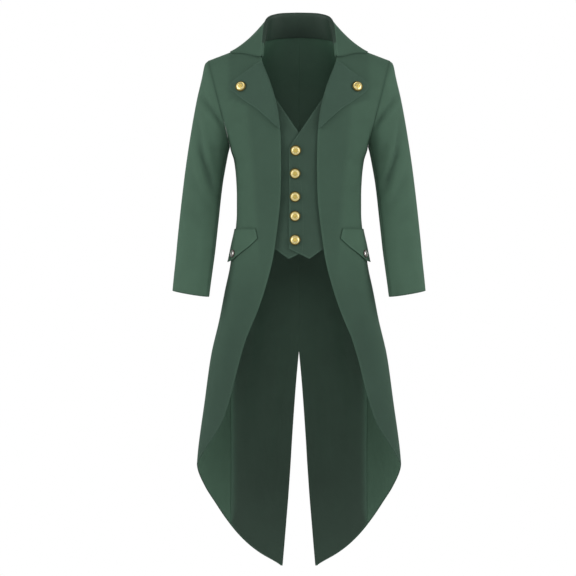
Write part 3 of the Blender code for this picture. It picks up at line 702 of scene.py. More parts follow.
def collar_sheet():
    """The collar from one front end round to the other: up the stand, over the fold and down the
    fall."""
    along = np.concatenate([[0, 0.012, 0.026], np.linspace(0.042, 1, 62)])
    foot = np.stack([COLLAR(f"foot_{a}", along) for a in "xyz"], -1)
    fold = np.stack([COLLAR(f"fold_{a}", along) for a in "xyz"], -1)
    edge_x, down = COLLAR("fall_x", along), COLLAR("fall_down", along)
    edges = {side: coat_at(side, edge_x, top_line(side, edge_x)[1] - np.abs(down), -EDGE_LIFT)
             for side in ("front", "back")}
    edge = np.where(down[:, None] < 0, edges["front"], edges["back"])
    out = unit((edge - fold) * (1, 1, 0))
    up = np.array([0, 0, 1.0])
    stand_top = fold - FOLD_RADIUS * (out + up)
    fall_top = fold + FOLD_RADIUS * (out - up)
    bow = COLLAR("roll", along)[:, None] * out - COLLAR("sag", along)[:, None] * up
    strips = [foot + (stand_top - foot) * share for share in np.linspace(0, 1, 9)[:-1]]
    for angle in np.linspace(pi, 0, 9):
        round_way = np.cos(angle) * out + np.sin(angle) * up
        strips.append(fold - up * FOLD_RADIUS + FOLD_RADIUS * round_way)
    for share in np.concatenate([np.linspace(0, 1, 20)[1:-1], [0.985, 1.0]]):
        point = fall_top + (edge - fall_top) * share + bow * 4 * share * (1 - share)
        room = FALL_LIFT * (1 - 0.4 * share ** 2)
        point[:, 2] = np.maximum(point[:, 2], coat_height(point[:, 0], point[:, 1]) + room)
        strips.append(point)
    half = np.stack(strips, 1)
    middle = np.concatenate([half, half[-2::-1] * (-1, 1, 1)])
    nape = slice(len(along) - 8, len(along) + 7)
    fall = 18                           # the first column past the fold
    for _ in range(10):
        beside = (np.roll(middle, 1, 0) + np.roll(middle, -1, 0)) / 2
        middle[nape] += (beside - middle)[nape] * 0.5
    for _ in range(6):
        inside = (middle[:-2, 1:-1] + middle[2:, 1:-1] + middle[1:-1, :-2] + middle[1:-1, 2:]) / 4
        middle[1:-1, fall:-1] += (inside - middle[1:-1, 1:-1])[:, fall - 1:] * 0.5
        middle[2:-2, -1] += (middle[1:-3, -1] + middle[3:-1, -1] - 2 * middle[2:-2, -1]) * 0.25
        for end in (0, -1):
            row = middle[end]
            row[fall:-1] += (row[fall - 1:-2] + row[fall + 1:] - 2 * row[fall:-1]) * 0.25
    normal = grid_normals(middle)
    if (normal[:, -4] * up).sum() < 0:
        normal = -normal
    # Painted shade over the whole collar
    return Sheet(middle + normal * CLOTH / 2, normal, painted_shade=COLLAR_PAINTED_SHADE)


def stand_sheet(collar):
    """The dark facing on the neck side of the stand, up to the start of the fold."""
    rows, foot_to_fold = slice(9, -9), slice(0, 14)
    inside = collar.outer + collar.normals * (SEAM + LINING)
    up_stand = unit(inside[rows, 1] - inside[rows, 0])
    below = [inside[rows, 0] - up_stand * drop for drop in (6.0, 4.0, 2.0)]
    points = np.concatenate([np.stack(below, 1), inside[rows, foot_to_fold]], 1)
    normals = grid_normals(points)
    return Sheet(points, normals * np.sign((normals * collar.normals[rows, :1]).sum()), LINING)


def lapel_sheet():
    """The lapel, rolled out of the front's edge: its first columns go round the roll."""
    down = np.concatenate([[0, 0.012, 0.03], np.linspace(0.05, 0.95, 46), [0.97, 0.988, 1]])
    down = down[:, None]
    roll_z, free_x, free_z = (LAPEL(name, down) for name in ("roll_z", "free_x", "free_z"))
    roll_x = FRONT_EDGE("x", roll_z)
    top = LAPEL_LIFT + CLOTH
    radius = (top + CLOTH) / 2          # of the roll, on the cloth's outside
    angles = np.linspace(pi, 0.18 * pi, 7)[None, :]
    share = np.concatenate([np.linspace(0.03, 0.94, 30), [0.965, 0.985, 1.0]])[None, :]
    width = np.hypot(free_x - roll_x, free_z - roll_z)
    out_x, out_z = (free_x - roll_x) / width, (free_z - roll_z) / width
    from_roll = np.concatenate([
        np.broadcast_to(radius - radius * np.sin(angles), (len(down), 7)),
        radius * 0.45 + (width - radius * 0.45) * share], 1)
    soft = 3.4 * smooth_step(0, 0.1, down) * smooth_step(1.0, 0.82, down)
    bulge = soft * (from_roll / 13.0) * np.exp(1 - from_roll / 13.0)
    flat_lift = top + bulge
    round_lift = (top - CLOTH) / 2 + radius * np.cos(angles)
    lift = np.concatenate([np.broadcast_to(round_lift, (len(down), 7)) + bulge[:, :7] * 0.5,
                           flat_lift[:, 7:]], 1)
    x = roll_x + out_x * from_roll
    z = roll_z + out_z * from_roll
    points = coat_at("front", x, z, 0) + coat_way(x, z) * lift[..., None]
    return Sheet(points + (0, -SEAM / 2, 0), np.array([0, -1.0, 0]),
                 free="last_column last_row first_row")


def coat_way(x, z):
    return coat_normal("front", share_at(x, z), z)


def vest_sheet(depth, hand):
    x = np.concatenate([-25 + 51 * spread(51, 10), 26 + 92 * spread(92, 17)[1:]])[None, :]
    down = spread(300, 48)[:, None]
    top = VEST("top", x)
    bottom = np.interp(x, VEST.keys, VEST.columns["bottom"])
    x, z = np.broadcast_arrays(x, top + (bottom - top) * down)
    here, way = coat_at("front", x, z, depth), coat_way(x, z)
    way = way * np.where(x < 0, -1, 1)[..., None] ** np.array([1, 0, 0])
    lift = creased(here, way, "waistcoat", hand) if hand == "left" else 0
    return Sheet(here + way * np.asarray(lift)[..., None], way,
                 free="first_column first_row last_row")


def flap_point(out, down, depth):
    """A point on a flap at a depth from its back: its free corner springs away from the coat."""
    share = FLAP("share_top", out) * (1 - down) + FLAP("share_low", out) * down
    z = FLAP("top", out) * (1 - down) + FLAP("bottom", out) * down
    lift = FLAP_LIFT + FLAP_SPRING * out ** 2 * down ** 1.5 - depth
    way = coat_normal("front", share, z)
    return coat_point("front", share, z) + np.asarray(lift)[..., None] * way


def flap_sheet():
    out, down = np.meshgrid(spread(170, 26), spread(70, 10), indexing="xy")
    belly = 1.4 * np.sin(pi * out) * np.sin(pi * down) ** 0.7
    points = flap_point(out, down, -CLOTH - belly) + (0, -SEAM / 2, 0)
    return Sheet(points, np.array([0, -1.0, 0]), free="first_column last_column last_row")


# ---------------------------------------------------------------- finishes


class Finish:
    """A material's nodes, made one after another."""

    def __init__(self, name):
        self.material = bpy.data.materials.new(name)
        self.material.use_nodes = True
        self.tree = self.material.node_tree
        self.shader = self.tree.nodes["Principled BSDF"]

    def node(self, kind, **values):
        made = self.tree.nodes.new(kind)
        for name, value in values.items():
            setattr(made, name, value)
        return made

    def link(self, value, socket):
        if hasattr(value, "links"):
            self.tree.links.new(value, socket)
        else:
            socket.default_value = value

    def grain(self, turn=0.0):
        """The cloth's own grain in metres, turned by an angle."""
        uv = self.node("ShaderNodeUVMap", uv_map="grain")
        turned = self.node("ShaderNodeMapping")
        turned.inputs["Rotation"].default_value[2] = radians(turn)
        self.link(uv.outputs["UV"], turned.inputs["Vector"])
        return turned.outputs["Vector"]

    def place(self):
        return self.node("ShaderNodeTexCoord").outputs["Object"]

    def noise(self, vector, scale, detail=2.0, rough=0.5):
        made = self.node("ShaderNodeTexNoise")
        self.link(vector, made.inputs["Vector"])
        made.inputs["Scale"].default_value = scale
        made.inputs["Detail"].default_value = detail
        made.inputs["Roughness"].default_value = rough
        return made.outputs["Fac"]

    def bands(self, vector, pitch, wander=0.0):
        """Soft stripes of a pitch in metres, across the vector's x."""
        made = self.node("ShaderNodeTexWave", wave_type="BANDS", bands_direction="X")
        self.link(vector, made.inputs["Vector"])
        made.inputs["Scale"].default_value = pi / 10 / pitch
        made.inputs["Distortion"].default_value = wander
        made.inputs["Detail"].default_value = 1.0
        made.inputs["Detail Scale"].default_value = 1.5
        return made.outputs["Fac"]

    def maths(self, operation, a, b, c=None):
        made = self.node("ShaderNodeMath", operation=operation)
        for value, socket in zip((a, b, c), made.inputs):
            if value is not None:
                self.link(value, socket)
        return made.outputs[0]

    def scaled(self, value, low, high):
        """A value from 0 to 1 spread from low to high."""
        return self.maths("MULTIPLY_ADD", value, high - low, low)

    def attribute(self, name):
        return self.node("ShaderNodeAttribute", attribute_name=name).outputs["Fac"]

    def blend(self, factor, a, b):
        made = self.node("ShaderNodeMix", data_type="RGBA")
        self.link(factor, made.inputs["Factor"])
        self.link(a, made.inputs["A"])
        self.link(b, made.inputs["B"])
        return made.outputs["Result"]

    def tinted(self, colour, tint):
        made = self.node("ShaderNodeMix", data_type="RGBA", blend_type="MULTIPLY")
        made.inputs["Factor"].default_value = 1.0
        self.link(colour, made.inputs["A"])
        self.link(tint, made.inputs["B"])
        return made.outputs["Result"]

    def bump(self, height, strength, distance, under=None):
        made = self.node("ShaderNodeBump")
        made.inputs["Strength"].default_value = strength
        made.inputs["Distance"].default_value = distance
        self.link(height, made.inputs["Height"])
        if under is not None:
            self.link(under, made.inputs["Normal"])
        return made.outputs["Normal"]

    def finish(self, **sockets):
        for name, value in sockets.items():
            self.link(value, self.shader.inputs[name.replace("_", " ")])
        return self.material


def shade(colour, amount):
    return tuple(min(1.0, c * amount) for c in colour[:3]) + (1.0,)


PAINTED_SHADE_TINT = (0.54, 0.53, 0.57, 1)    # what cloth keeps of its colour under full painted shade
SEAM_PAINTED_SHADE = (0.72, 0.74, 0.74, 1)   # and under the painted shade along its edges and seams
PALE_EDGE = (2.0, 2.1, 2.1, 1)       # how many times brighter the lining's free edge is
PAINTED_LIGHT_HEIGHTS = (-1.2, -0.1)          # in metres, between which painted light makes the lining paler


def twill_finish(name, colour, pitch=1.3e-3, sheen=0.12, rub_and_highlight=1.22, mottle=0.10):
    """Matt twill: diagonal ridges crossed by the yarn's own twist, and a soft mottle. Painted shade
    darkens it where its attributes say, and its free edges are paler, partly wear and partly a
    painted highlight."""
    made = Finish(name)
    straight, slanted = made.grain(), made.grain(27.0)
    ridges = made.bands(slanted, pitch, 0.5)
    yarn = made.bands(made.grain(-63.0), pitch * 0.62, 1.0)
    weave = made.maths("MULTIPLY_ADD", yarn, 0.35, made.maths("MULTIPLY", ridges, 0.65))
    fuzz = made.noise(straight, 1500.0, 2.0, 0.7)
    cloud = made.noise(made.place(), 26.0, 4.0, 0.6)
    patch = made.noise(made.place(), 5.5, 2.0, 0.5)
    tone = made.maths("MULTIPLY_ADD", cloud, 0.45, made.maths("MULTIPLY", patch, 0.55))
    tone = made.maths("MULTIPLY_ADD", weave, 0.24, made.maths("MULTIPLY", tone, 0.76))
    tone = made.maths("MULTIPLY_ADD", fuzz, 0.2, made.maths("MULTIPLY", tone, 0.8))
    body = made.blend(tone, shade(colour, 1 - 3 * mottle), shade(colour, 1 + 3 * mottle))
    # Painted shade, from the attribute that holds it
    body = made.blend(made.attribute("painted_shade"), body, made.tinted(body, PAINTED_SHADE_TINT))
    # Painted shade along its edges and seams, standing in for their dark rims
    body = made.blend(made.attribute("seam"), body, made.tinted(body, SEAM_PAINTED_SHADE))
    # Paler free edges: partly wear, partly a painted highlight
    rubbed_and_lit = made.maths("MULTIPLY", made.attribute("edge"), made.scaled(cloud, 0.35, 1.0))
    base = made.blend(rubbed_and_lit, body, made.tinted(body, (rub_and_highlight, rub_and_highlight, rub_and_highlight, 1)))
    napped = made.bump(fuzz, 0.25, 0.0003)
    woven = made.bump(weave, 0.55, 0.00035, napped)
    return made.finish(Base_Color=base, Roughness=made.scaled(fuzz, 0.78, 0.94), Normal=woven,
                       Sheen_Weight=sheen, Sheen_Roughness=0.45,
                       Sheen_Tint=shade([c * 6 for c in colour[:3]], 1.0), Specular_IOR_Level=0.28)


def lining_finish(name, colour, painted_gain=1.0):
    """Smooth lining: fine crosswise threads, a low gloss and a faint ripple. Painted light makes
    its colour paler up towards the neck, by the factor in its third argument, and it is pale along
    a free edge."""
    made = Finish(name)
    threads = made.bands(made.grain(90.0), 0.6e-3, 0.4)
    ripple = made.noise(made.place(), 14.0, 3.0, 0.55)
    slub = made.noise(made.grain(), 420.0, 2.0, 0.6)
    tone = made.maths("MULTIPLY_ADD", ripple, 0.6, made.maths("MULTIPLY", slub, 0.4))
    base = made.blend(tone, shade(colour, 0.78), shade(colour, 1.22))
    # Painted light: paler up towards the neck, offsetting the shade inside the coat
    height = made.node("ShaderNodeSeparateXYZ")
    made.link(made.place(), height.inputs[0])
    up = made.node("ShaderNodeMapRange")
    low, high = PAINTED_LIGHT_HEIGHTS
    up.inputs["From Min"].default_value, up.inputs["From Max"].default_value = low, high
    made.link(height.outputs["Z"], up.inputs["Value"])
    base = made.blend(up.outputs[0], base, made.tinted(base, (painted_gain, painted_gain, painted_gain, 1)))
    pale = made.maths("MULTIPLY", made.attribute("edge"), 0.8)
    base = made.blend(pale, base, made.tinted(base, PALE_EDGE))
    return made.finish(Base_Color=base, Roughness=made.scaled(slub, 0.46, 0.6),
                       Normal=made.bump(threads, 0.3, 0.0002, made.bump(ripple, 0.15, 0.002)),
                       Sheen_Weight=0.12, Sheen_Roughness=0.3, Specular_IOR_Level=0.35)


def metal_finish(name, bright, middle, deep, rough):
    """Struck metal, dark where its relief is deep and pale where it stands proud."""
    made = Finish(name)
    stain = made.noise(made.place(), 900.0, 3.0, 0.6)
    depth = made.maths("MULTIPLY_ADD", made.attribute("patina"), 0.85,
                       made.maths("MULTIPLY", stain, 0.15))
    base = made.blend(made.maths("MULTIPLY", depth, 2.5), bright, middle)
    base = made.blend(made.maths("MULTIPLY_ADD", depth, 1.67, -0.67), base, deep)
    matt = made.maths("MULTIPLY_ADD", depth, 0.3, made.scaled(stain, rough, rough + 0.1))
    return made.finish(Base_Color=base, Metallic=1.0, Roughness=matt,
                       Normal=made.bump(stain, 0.12, 0.0002))


def thread_finish(name, colour):
    made = Finish(name)
    ply = made.noise(made.place(), 2600.0, 1.0, 0.5)
    base = made.blend(ply, shade(colour, 0.8), shade(colour, 1.35))
    return made.finish(Base_Color=base, Roughness=0.6, Normal=made.bump(ply, 0.4, 0.0001),
                       Sheen_Weight=0.2, Specular_IOR_Level=0.35)


# ---------------------------------------------------------------- what repeats


class Nodes:
    """A geometry tree with named inputs, ended by Realize Instances and Set Material."""

    def __init__(self, name, **inputs):
        self.tree = bpy.data.node_groups.new(name, "GeometryNodeTree")
        self.identifiers = {}
        for label, kind in {"Geometry": "Geometry", **inputs, "Finish": "Material"}.items():
            socket = self.tree.interface.new_socket(label.replace("_", " "), in_out="INPUT",
                                                    socket_type=f"NodeSocket{kind}")
            self.identifiers[label] = socket.identifier
        self.tree.interface.new_socket("Geometry", in_out="OUTPUT",
                                       socket_type="NodeSocketGeometry")
        self.start = self.tree.nodes.new("NodeGroupInput").outputs

    def add(self, kind, links=(), **values):
        made = self.tree.nodes.new(kind)
        for name, value in values.items():
            setattr(made, name, value)
        for socket, source in dict(links).items():
            if hasattr(source, "links"):
                self.tree.links.new(source, made.inputs[socket])
            else:
                made.inputs[socket].default_value = source
        return made

    def end(self, instances):
        real = self.add("GeometryNodeRealizeInstances", {"Geometry": instances})
        done = self.add("GeometryNodeSetMaterial",
                        {"Geometry": real.outputs["Geometry"], "Material": self.start["Finish"]})
        out = self.tree.nodes.new("NodeGroupOutput")
        self.tree.links.new(done.outputs["Geometry"], out.inputs["Geometry"])

    def facing(self, first, axis, second, other):
        """A rotation with one axis along a vector and another near a second vector."""
        turned = self.add("FunctionNodeAlignRotationToVector", {"Vector": first}, axis=axis)
        settled = self.add("FunctionNodeAlignRotationToVector",
                           {"Rotation": turned.outputs["Rotation"], "Vector": second},
                           axis=other, pivot_axis=axis)
        return settled.outputs["Rotation"]

    def vector(self, name):
        made = self.add("GeometryNodeInputNamedAttribute", {"Name": name}, data_type="FLOAT_VECTOR")
        return made.outputs["Attribute"]


def plain_mesh(name, guide, nodes, **values):
    """Runs a tree on a guide object, and gives its result as a plain mesh object."""
    made = guide.modifiers.new(nodes.tree.name, "NODES")
    made.node_group = nodes.tree
    for label, value in values.items():
        made[nodes.identifiers[label]] = value
    bpy.context.view_layer.update()
    ready = bpy.context.evaluated_depsgraph_get()
    mesh = bpy.data.meshes.new_from_object(guide.evaluated_get(ready), depsgraph=ready)
    mesh.name = name
    guide.modifiers.remove(made)
    bpy.data.objects.remove(guide)
    piece = bpy.data.objects.new(name, mesh)
    coat.objects.link(piece)
    return piece


def stitch_nodes():
    """Stitches along the guide's lines: short rounded bars at a pitch, flat on the cloth, whose
    vector attribute up is the way out of it."""
    nodes = Nodes("stitches", Pitch="Float", Length="Float", Thickness="Float", Seed="Int")
    start = nodes.start
    curve = nodes.add("GeometryNodeMeshToCurve", {"Mesh": start["Geometry"]})
    spaced = nodes.add("GeometryNodeResampleCurve",
                       {"Curve": curve.outputs["Curve"], "Length": start["Pitch"]}, mode="LENGTH")
    bar = nodes.add("GeometryNodeMeshUVSphere", {"Segments": 6, "Rings": 5, "Radius": 0.5})
    size = nodes.add("ShaderNodeCombineXYZ", {"X": start["Thickness"], "Y": start["Thickness"],
                                              "Z": start["Length"]})
    along = nodes.add("GeometryNodeInputTangent").outputs["Tangent"]
    uneven = nodes.add("FunctionNodeRandomValue", data_type="FLOAT")
    floats = [socket for socket in uneven.inputs if socket.type == "VALUE" and socket.enabled]
    floats[0].default_value, floats[1].default_value = 0.86, 1.08
    nodes.tree.links.new(start["Seed"], uneven.inputs["Seed"])
    scale = nodes.add("ShaderNodeVectorMath", {0: size.outputs["Vector"],
                                               1: uneven.outputs[1]}, operation="MULTIPLY")
    laid = nodes.add("GeometryNodeInstanceOnPoints", {
        "Points": spaced.outputs["Curve"], "Instance": bar.outputs["Mesh"],
        "Rotation": nodes.facing(along, "Z", nodes.vector("up"), "Y"), "Scale": scale.outputs[0]})
    nodes.end(laid.outputs["Instances"])
    return nodes


def button_nodes():
    """A copy of the struck button on each of the guide's points, facing along the attribute up."""
    nodes = Nodes("buttons", Button="Object", Diameter="Float")
    start = nodes.start
    struck = nodes.add("GeometryNodeObjectInfo", {"Object": start["Button"]})
    set_on = nodes.add("GeometryNodeInstanceOnPoints", {
        "Points": start["Geometry"], "Instance": struck.outputs["Geometry"],
        "Rotation": nodes.facing(nodes.vector("up"), "Z", (0.0, 0.0, 1.0), "Y"),
        "Scale": start["Diameter"]})
    nodes.end(set_on.outputs["Instances"])
    return nodes


def guide_object(lines):
    """A mesh of open lines, each given by its points in millimetres and their ways up."""
    points = np.concatenate([line for line, _ in lines])
    ups = np.concatenate([up for _, up in lines])
    starts = np.cumsum([0] + [len(line) for line, _ in lines])
    edges = [(i, i + 1) for a, b in zip(starts, starts[1:]) for i in range(a, b - 1)]
    mesh = bpy.data.meshes.new("guide")
    mesh.from_pydata((points * MM).tolist(), edges, [])
    up = mesh.attributes.new("up", "FLOAT_VECTOR", "POINT")
    up.data.foreach_set("vector", ups.astype(np.float32).ravel())
    made = bpy.data.objects.new("guide", mesh)
    coat.objects.link(made)
    return made


# A button 1 across, as radius and height down its face, then over its rim and across its back,
# with how dark its relief is there.
BUTTON = (
    (0.000, 0.196, 0.40), (0.035, 0.195, 0.40), (0.070, 0.188, 0.40), (0.088, 0.178, 0.45),
    (0.100, 0.174, 0.50), (0.118, 0.176, 0.42), (0.150, 0.180, 0.35), (0.200, 0.178, 0.22),
    (0.235, 0.170, 0.06), (0.270, 0.160, 0.0), (0.305, 0.146, 0.0), (0.325, 0.132, 0.2),
    (0.338, 0.126, 0.5), (0.350, 0.130, 0.3), (0.364, 0.140, 0.1), (0.380, 0.146, 0.3),
    (0.396, 0.142, 0.8), (0.430, 0.126, 1.0), (0.470, 0.098, 1.0), (0.500, 0.060, 1.0),
    (0.494, 0.034, 1.0), (0.478, 0.008, 1.0), (0.440, 0.000, 1.0), (0.300, 0.000, 1.0),
    (0.000, 0.000, 1.0),
)
BUTTON_SIDES = 48
ROPE_TWISTS = 24
ROPE_RADIUS = 0.372
PETALS = 8
PETAL_RADIUS = 0.21
FACE_FOOT = 0.09       # height below which the rim has no relief


def struck_button():
    """A turned button with a roped rim, and shallow petals round a middle boss."""
    radius, height, patina = np.array(BUTTON).T
    turn = np.linspace(0, 2 * pi, BUTTON_SIDES, endpoint=False)
    around, r = np.meshgrid(turn, radius[1:-1], indexing="xy")
    z = np.broadcast_to(height[1:-1, None], r.shape).copy()
    rope = np.exp(-((r - ROPE_RADIUS) / 0.022) ** 2) * (z > FACE_FOOT)
    z += 0.006 * rope * np.cos(around * ROPE_TWISTS + (r - ROPE_RADIUS) * 60)
    petal = np.exp(-((r - PETAL_RADIUS) / 0.075) ** 2) * (z > FACE_FOOT)
    z += 0.009 * petal * np.cos(around * PETALS)
    dark = np.broadcast_to(patina[1:-1, None], r.shape).copy()
    dark += petal * 0.35 * (1 - np.cos(around * PETALS)) / 2
    rings, sides = r.shape
    points = np.stack([r * np.cos(around), r * np.sin(around), z], -1).reshape(-1, 3)
    points = np.concatenate([points, [[0, 0, height[0]], [0, 0, height[-1]]]])
    at = np.arange(rings * sides).reshape(rings, sides)
    beside = np.roll(at, -1, 1)
    quads = np.stack([at[:-1], at[1:], beside[1:], beside[:-1]], -1).reshape(-1, 4)
    faces = quads.tolist()
    faces += [(rings * sides, int(a), int(b)) for a, b in zip(at[0], beside[0])]
    faces += [(rings * sides + 1, int(b), int(a)) for a, b in zip(at[-1], beside[-1])]
    mesh = bpy.data.meshes.new("struck_button")
    mesh.from_pydata(points.tolist(), [], faces)
    mesh.shade_smooth()
    tone = mesh.attributes.new("patina", "FLOAT", "POINT")
    tones = np.clip(np.append(dark.ravel(), [0.25, 1.0]), 0, 1)
    tone.data.foreach_set("value", tones.astype(np.float32))
    made = bpy.data.objects.new("struck_button", mesh)
    coat.objects.link(made)
    return made


def flap_seat(share, z):
    """The place on a flap's outer face at this girth share and height, and the way it faces."""
    outs = np.linspace(0, 1, 201)
    downs = (z - FLAP("top", outs)) / (FLAP("bottom", outs) - FLAP("top", outs))
    shares = FLAP("share_top", outs) * (1 - downs) + FLAP("share_low", outs) * downs
    nearest = int(np.argmin(np.abs(shares - share)))
    out, down = outs[nearest], downs[nearest]
    here = flap_point(out, down, -CLOTH)
    way = np.cross(flap_point(out + 0.01, down, -CLOTH) - here,
                   flap_point(out, down - 0.01, -CLOTH) - here)
    return here - (0, SEAM / 2, 0), way / np.linalg.norm(way)


# ---------------------------------------------------------------- the coat


coat = bpy.data.collections.new("tailcoat_looks")
bpy.context.scene.collection.children.link(coat)

COAT_GREEN = (0.066, 0.128, 0.086)
# The lapels' green is the coat's green darkened with painted shade
SHADED_LAPEL_GREEN = (0.051, 0.097, 0.069)
VEST_GREEN = (0.044, 0.082, 0.058)
LINING_GREEN = (0.0235, 0.0495, 0.0325)
FACING_GREEN = (0.025, 0.050, 0.034)

coat_twill = twill_finish("coat_twill", COAT_GREEN)
shaded_lapel_twill = twill_finish("shaded_lapel_twill", SHADED_LAPEL_GREEN)
waistcoat_twill = twill_finish("waistcoat_twill", VEST_GREEN, pitch=1.1e-3, rub_and_highlight=1.3)
# with painted light up to three times as bright towards the neck
lining_weave = lining_finish("lining_weave", LINING_GREEN, 3.0)
facing_weave = lining_finish("facing_weave", FACING_GREEN)
gold = metal_finish("antique_gold", (0.96, 0.89, 0.60, 1), (0.82, 0.62, 0.17, 1),
                    (0.040, 0.040, 0.020, 1), 0.30)
silver = metal_finish("dull_silver", (1.0, 1.0, 0.98, 1), (0.66, 0.62, 0.60, 1),
                      (0.075, 0.032, 0.028, 1), 0.30)
coat_thread = thread_finish("coat_thread", shade(COAT_GREEN, 0.9))

front_panel = panel("front", panel_rows(FRONT_END), roll_edge, half_width, 38)
back_panel = panel("back", panel_rows(BACK_END), vent_edge, back_side, 52)
lining_panel = panel("back", panel_rows(LINING_END)[::2] + [LINING_END], vent_edge, lining_edge, 30)

stitches = stitch_nodes()
buttons = button_nodes()
button = struck_button()


def settled(piece, slot, *nodes):
    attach(piece, "root")
    if nodes:
        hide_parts(*nodes)
    return piece


def stitched(name, slot, lines, seed):
    guide = guide_object(lines)
    made = plain_mesh(f"{name}_stitches", guide, stitches, Pitch=STITCH_PITCH * MM,
                      Length=STITCH_LENGTH * MM, Thickness=STITCH_THICK * MM, Seed=seed,
                      Finish=coat_thread)
    return settled(made, slot)


def buttoned(name, slot, seats, diameter, look, *nodes):
    guide = guide_object([(np.array([seat]), np.array([way])) for seat, way in seats])
    made = plain_mesh(name, guide, buttons, Button=button, Diameter=diameter * MM, Finish=look)
    return settled(made, slot, *nodes)


def cut_piece(name, sheet, look, slot, on_it=()):
    piece = settled(shell(f"{name}_cloth", sheet, look), slot, name)
    return piece


def seat_on(side, x, z, depth):
    """A button's place at a depth under the coat's outside, and the way out there."""
    seat = coat_at(side, x, z, depth)
    way = coat_at(side, x, z, min(depth, 0.0) - 10) - seat
    return seat, way / np.linalg.norm(way)


vest_seats = [seat_on("front", x, z, CLOTH + VEST_GAP - BUTTON_GAP) for x, z in VEST_BUTTONS]
lapel_seat = seat_on("front", *LAPEL_BUTTON, -LAPEL_LIFT - CLOTH - BUTTON_GAP - SEAM)
flap_place, flap_way = flap_seat(*FLAP_BUTTON)
flap_place = flap_place + flap_way * BUTTON_GAP

collar = collar_sheet()
cut_piece("collar", collar, coat_twill, "coat_cloth",
          [stitched("collar", "coat_cloth", [collar.line("last_column", STITCH_INSET)], 7)])
cut_piece("stand_facing", stand_sheet(collar), facing_weave, "lining")

for seed, (hand, mirror) in enumerate((("left", 1), ("right", -1))):
    def sided(sheet):
        return sheet if mirror == 1 else sheet.mirrored()

    flip = np.array([mirror, 1, 1])
    front = sided(front_sheet(hand))
    cut_piece(f"front_{hand}", front, coat_twill, "coat_cloth",
              [stitched(f"front_{hand}", "coat_cloth",
                        [front.line("first_column", STITCH_INSET, 0.20, 0.985)], seed)])
    back = sided(back_sheet(hand))
    cut_piece(f"back_{hand}", back, coat_twill, "coat_cloth",
              [stitched(f"back_{hand}", "coat_cloth",
                        [back.line("first_column", STITCH_INSET, 0.60, 0.985),
                         back.line("last_column", STITCH_INSET, 0.82, 0.985)], seed + 2)])
    cut_piece(f"back_lining_{hand}", sided(lining_sheet(hand)), lining_weave,
              "lining")
    top = sided(sleeve_sheet(BACK_SEAM - 360, INNER_SEAM, hand))
    under = sided(sleeve_sheet(INNER_SEAM, BACK_SEAM, hand))
    for kind, sheet, extra in (("top_sleeve", top, 4), ("under_sleeve", under, 6)):
        cut_piece(f"{kind}_{hand}", sheet, coat_twill, "coat_cloth",
                  [stitched(f"{kind}_{hand}", "coat_cloth",
                            [sheet.line("last_row", STITCH_INSET, 0.02, 0.98)], seed + extra)])
    lapel = sided(lapel_sheet())
    gold_button = buttoned(f"lapel_{hand}_gold_button", "gold_metal",
                           [(lapel_seat[0] * flip, lapel_seat[1] * flip)], BIG_BUTTON, gold,
                           f"lapel_button_{hand}")
    cut_piece(f"lapel_{hand}", lapel, shaded_lapel_twill, "lapel_cloth",
              [gold_button,
               stitched(f"lapel_{hand}", "lapel_cloth",
                        [lapel.line("last_column", STITCH_INSET, 0.03, 0.97)], seed + 8)])
    depth = CLOTH + VEST_GAP + (0 if hand == "left" else CLOTH + VEST_LAP)
    vest = sided(vest_sheet(depth, hand))
    vest_lines = [vest.line("first_row", STITCH_INSET, 0.03, 0.97),
                  vest.line("last_row", STITCH_INSET, 0.03, 0.97)]
    on_vest = []
    if hand == "left":
        vest_lines += [vest.line("first_column", STITCH_INSET, 0.03, 0.97),
                       vest.line("first_column", 35.0, 0.02, 0.98)]
        on_vest.append(buttoned("waistcoat_gold_buttons", "gold_metal", vest_seats, BIG_BUTTON,
                                gold, *[f"vest_button_{n}" for n in range(1, 6)]))
    cut_piece(f"vest_{hand}", vest, waistcoat_twill, "waistcoat_cloth",
              on_vest + [stitched(f"vest_{hand}", "waistcoat_cloth", vest_lines, seed + 10)])
    flap = sided(flap_sheet())
    silver_button = buttoned(f"flap_{hand}_silver_button", "silver_metal",
                             [(flap_place * flip, flap_way * flip)], SMALL_BUTTON, silver,
                             f"flap_button_{hand}")
    cut_piece(f"flap_{hand}", flap, coat_twill, "coat_cloth",
              [silver_button, stitched(f"flap_{hand}", "coat_cloth",
                                       [flap.line("last_row", STITCH_INSET, 0.02, 0.98),
                                        flap.line("first_column", STITCH_INSET, 0.1, 0.95)],
                                       seed + 12)])

bpy.data.objects.remove(button)

# ---------------------------------------------------------------- floor, lights and camera


def area_light(name, place, aim, size, power, tint=(1, 1, 1)):
    lamp = bpy.data.lights.new(name, "AREA")
    lamp.shape = "RECTANGLE"
    lamp.size, lamp.size_y = size
    lamp.energy = power
    lamp.color = tint
    made = bpy.data.objects.new(name, lamp)
    bpy.context.scene.collection.objects.link(made)
    made.location = place
    made.rotation_euler = (Vector(aim) - Vector(place)).to_track_quat("-Z", "Y").to_euler()
    return made


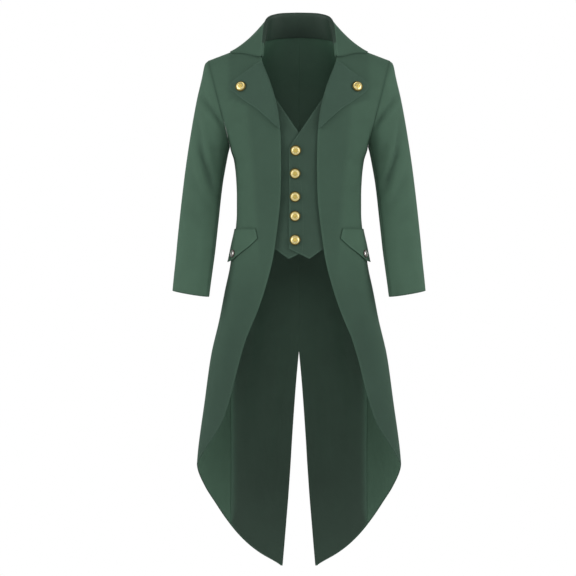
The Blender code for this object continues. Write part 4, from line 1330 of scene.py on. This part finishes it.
def plain_floor(height, size):
    mesh = bpy.data.meshes.new("floor")
    corners = ((-1, -1), (1, -1), (1, 1), (-1, 1))
    mesh.from_pydata([(x * size, y * size, height) for x, y in corners], [], [(0, 1, 2, 3)])
    made = bpy.data.objects.new("floor", mesh)
    bpy.context.scene.collection.objects.link(made)
    paint = Finish("floor_paper")
    fleck = paint.noise(paint.place(), 30.0, 2.0, 0.5)
    mesh.materials.append(paint.finish(
        Base_Color=paint.blend(fleck, (0.70, 0.70, 0.70, 1), (0.74, 0.74, 0.74, 1)), Roughness=0.8))


def white_room(ambient):
    """A white backdrop to look at, with a softer light of its own."""
    world = bpy.data.worlds.new("studio")
    world.use_nodes = True
    tree = world.node_tree
    seen = tree.nodes["Background"]
    seen.inputs["Color"].default_value = (1, 1, 1, 1)
    soft = tree.nodes.new("ShaderNodeBackground")
    soft.inputs["Color"].default_value = (0.97, 1.0, 1.0, 1)
    soft.inputs["Strength"].default_value = ambient
    ray, mix = tree.nodes.new("ShaderNodeLightPath"), tree.nodes.new("ShaderNodeMixShader")
    tree.links.new(ray.outputs["Is Camera Ray"], mix.inputs[0])
    tree.links.new(soft.outputs[0], mix.inputs[1])
    tree.links.new(seen.outputs[0], mix.inputs[2])
    tree.links.new(mix.outputs[0], tree.nodes["World Output"].inputs["Surface"])
    bpy.context.scene.world = world


FLOOR_Z = -1.432
AMBIENT = 0.30
CHEST = (0, 0, -0.55)
plain_floor(FLOOR_Z, 3.0)
white_room(AMBIENT)
area_light("left_softbox", (-3.1, -1.5, 0.5), CHEST, (1.4, 2.2), 62)
area_light("right_softbox", (3.1, -1.5, 0.5), CHEST, (1.4, 2.2), 62)
area_light("front_fill", (0, -3.8, 0.9), CHEST, (2.2, 1.4), 20)
area_light("back_fill", (0, 3.2, 0.8), CHEST, (2.4, 1.8), 40)

CAMERA_AWAY = 24.0
FRAME_SIDE = 1.44
FRAME_X, FRAME_Z = -0.0275, -0.62    # the middle of the frame
eye = bpy.data.cameras.new("camera")
eye.sensor_width = 36.0
eye.lens = eye.sensor_width * CAMERA_AWAY / FRAME_SIDE
eye.clip_end = 100.0
camera = bpy.data.objects.new("camera", eye)
bpy.context.scene.collection.objects.link(camera)
camera.location = (FRAME_X, -CAMERA_AWAY, FRAME_Z)
camera.rotation_euler = (pi / 2, 0, 0)
bpy.context.scene.camera = camera
bpy.context.scene.view_settings.view_transform = "Standard"
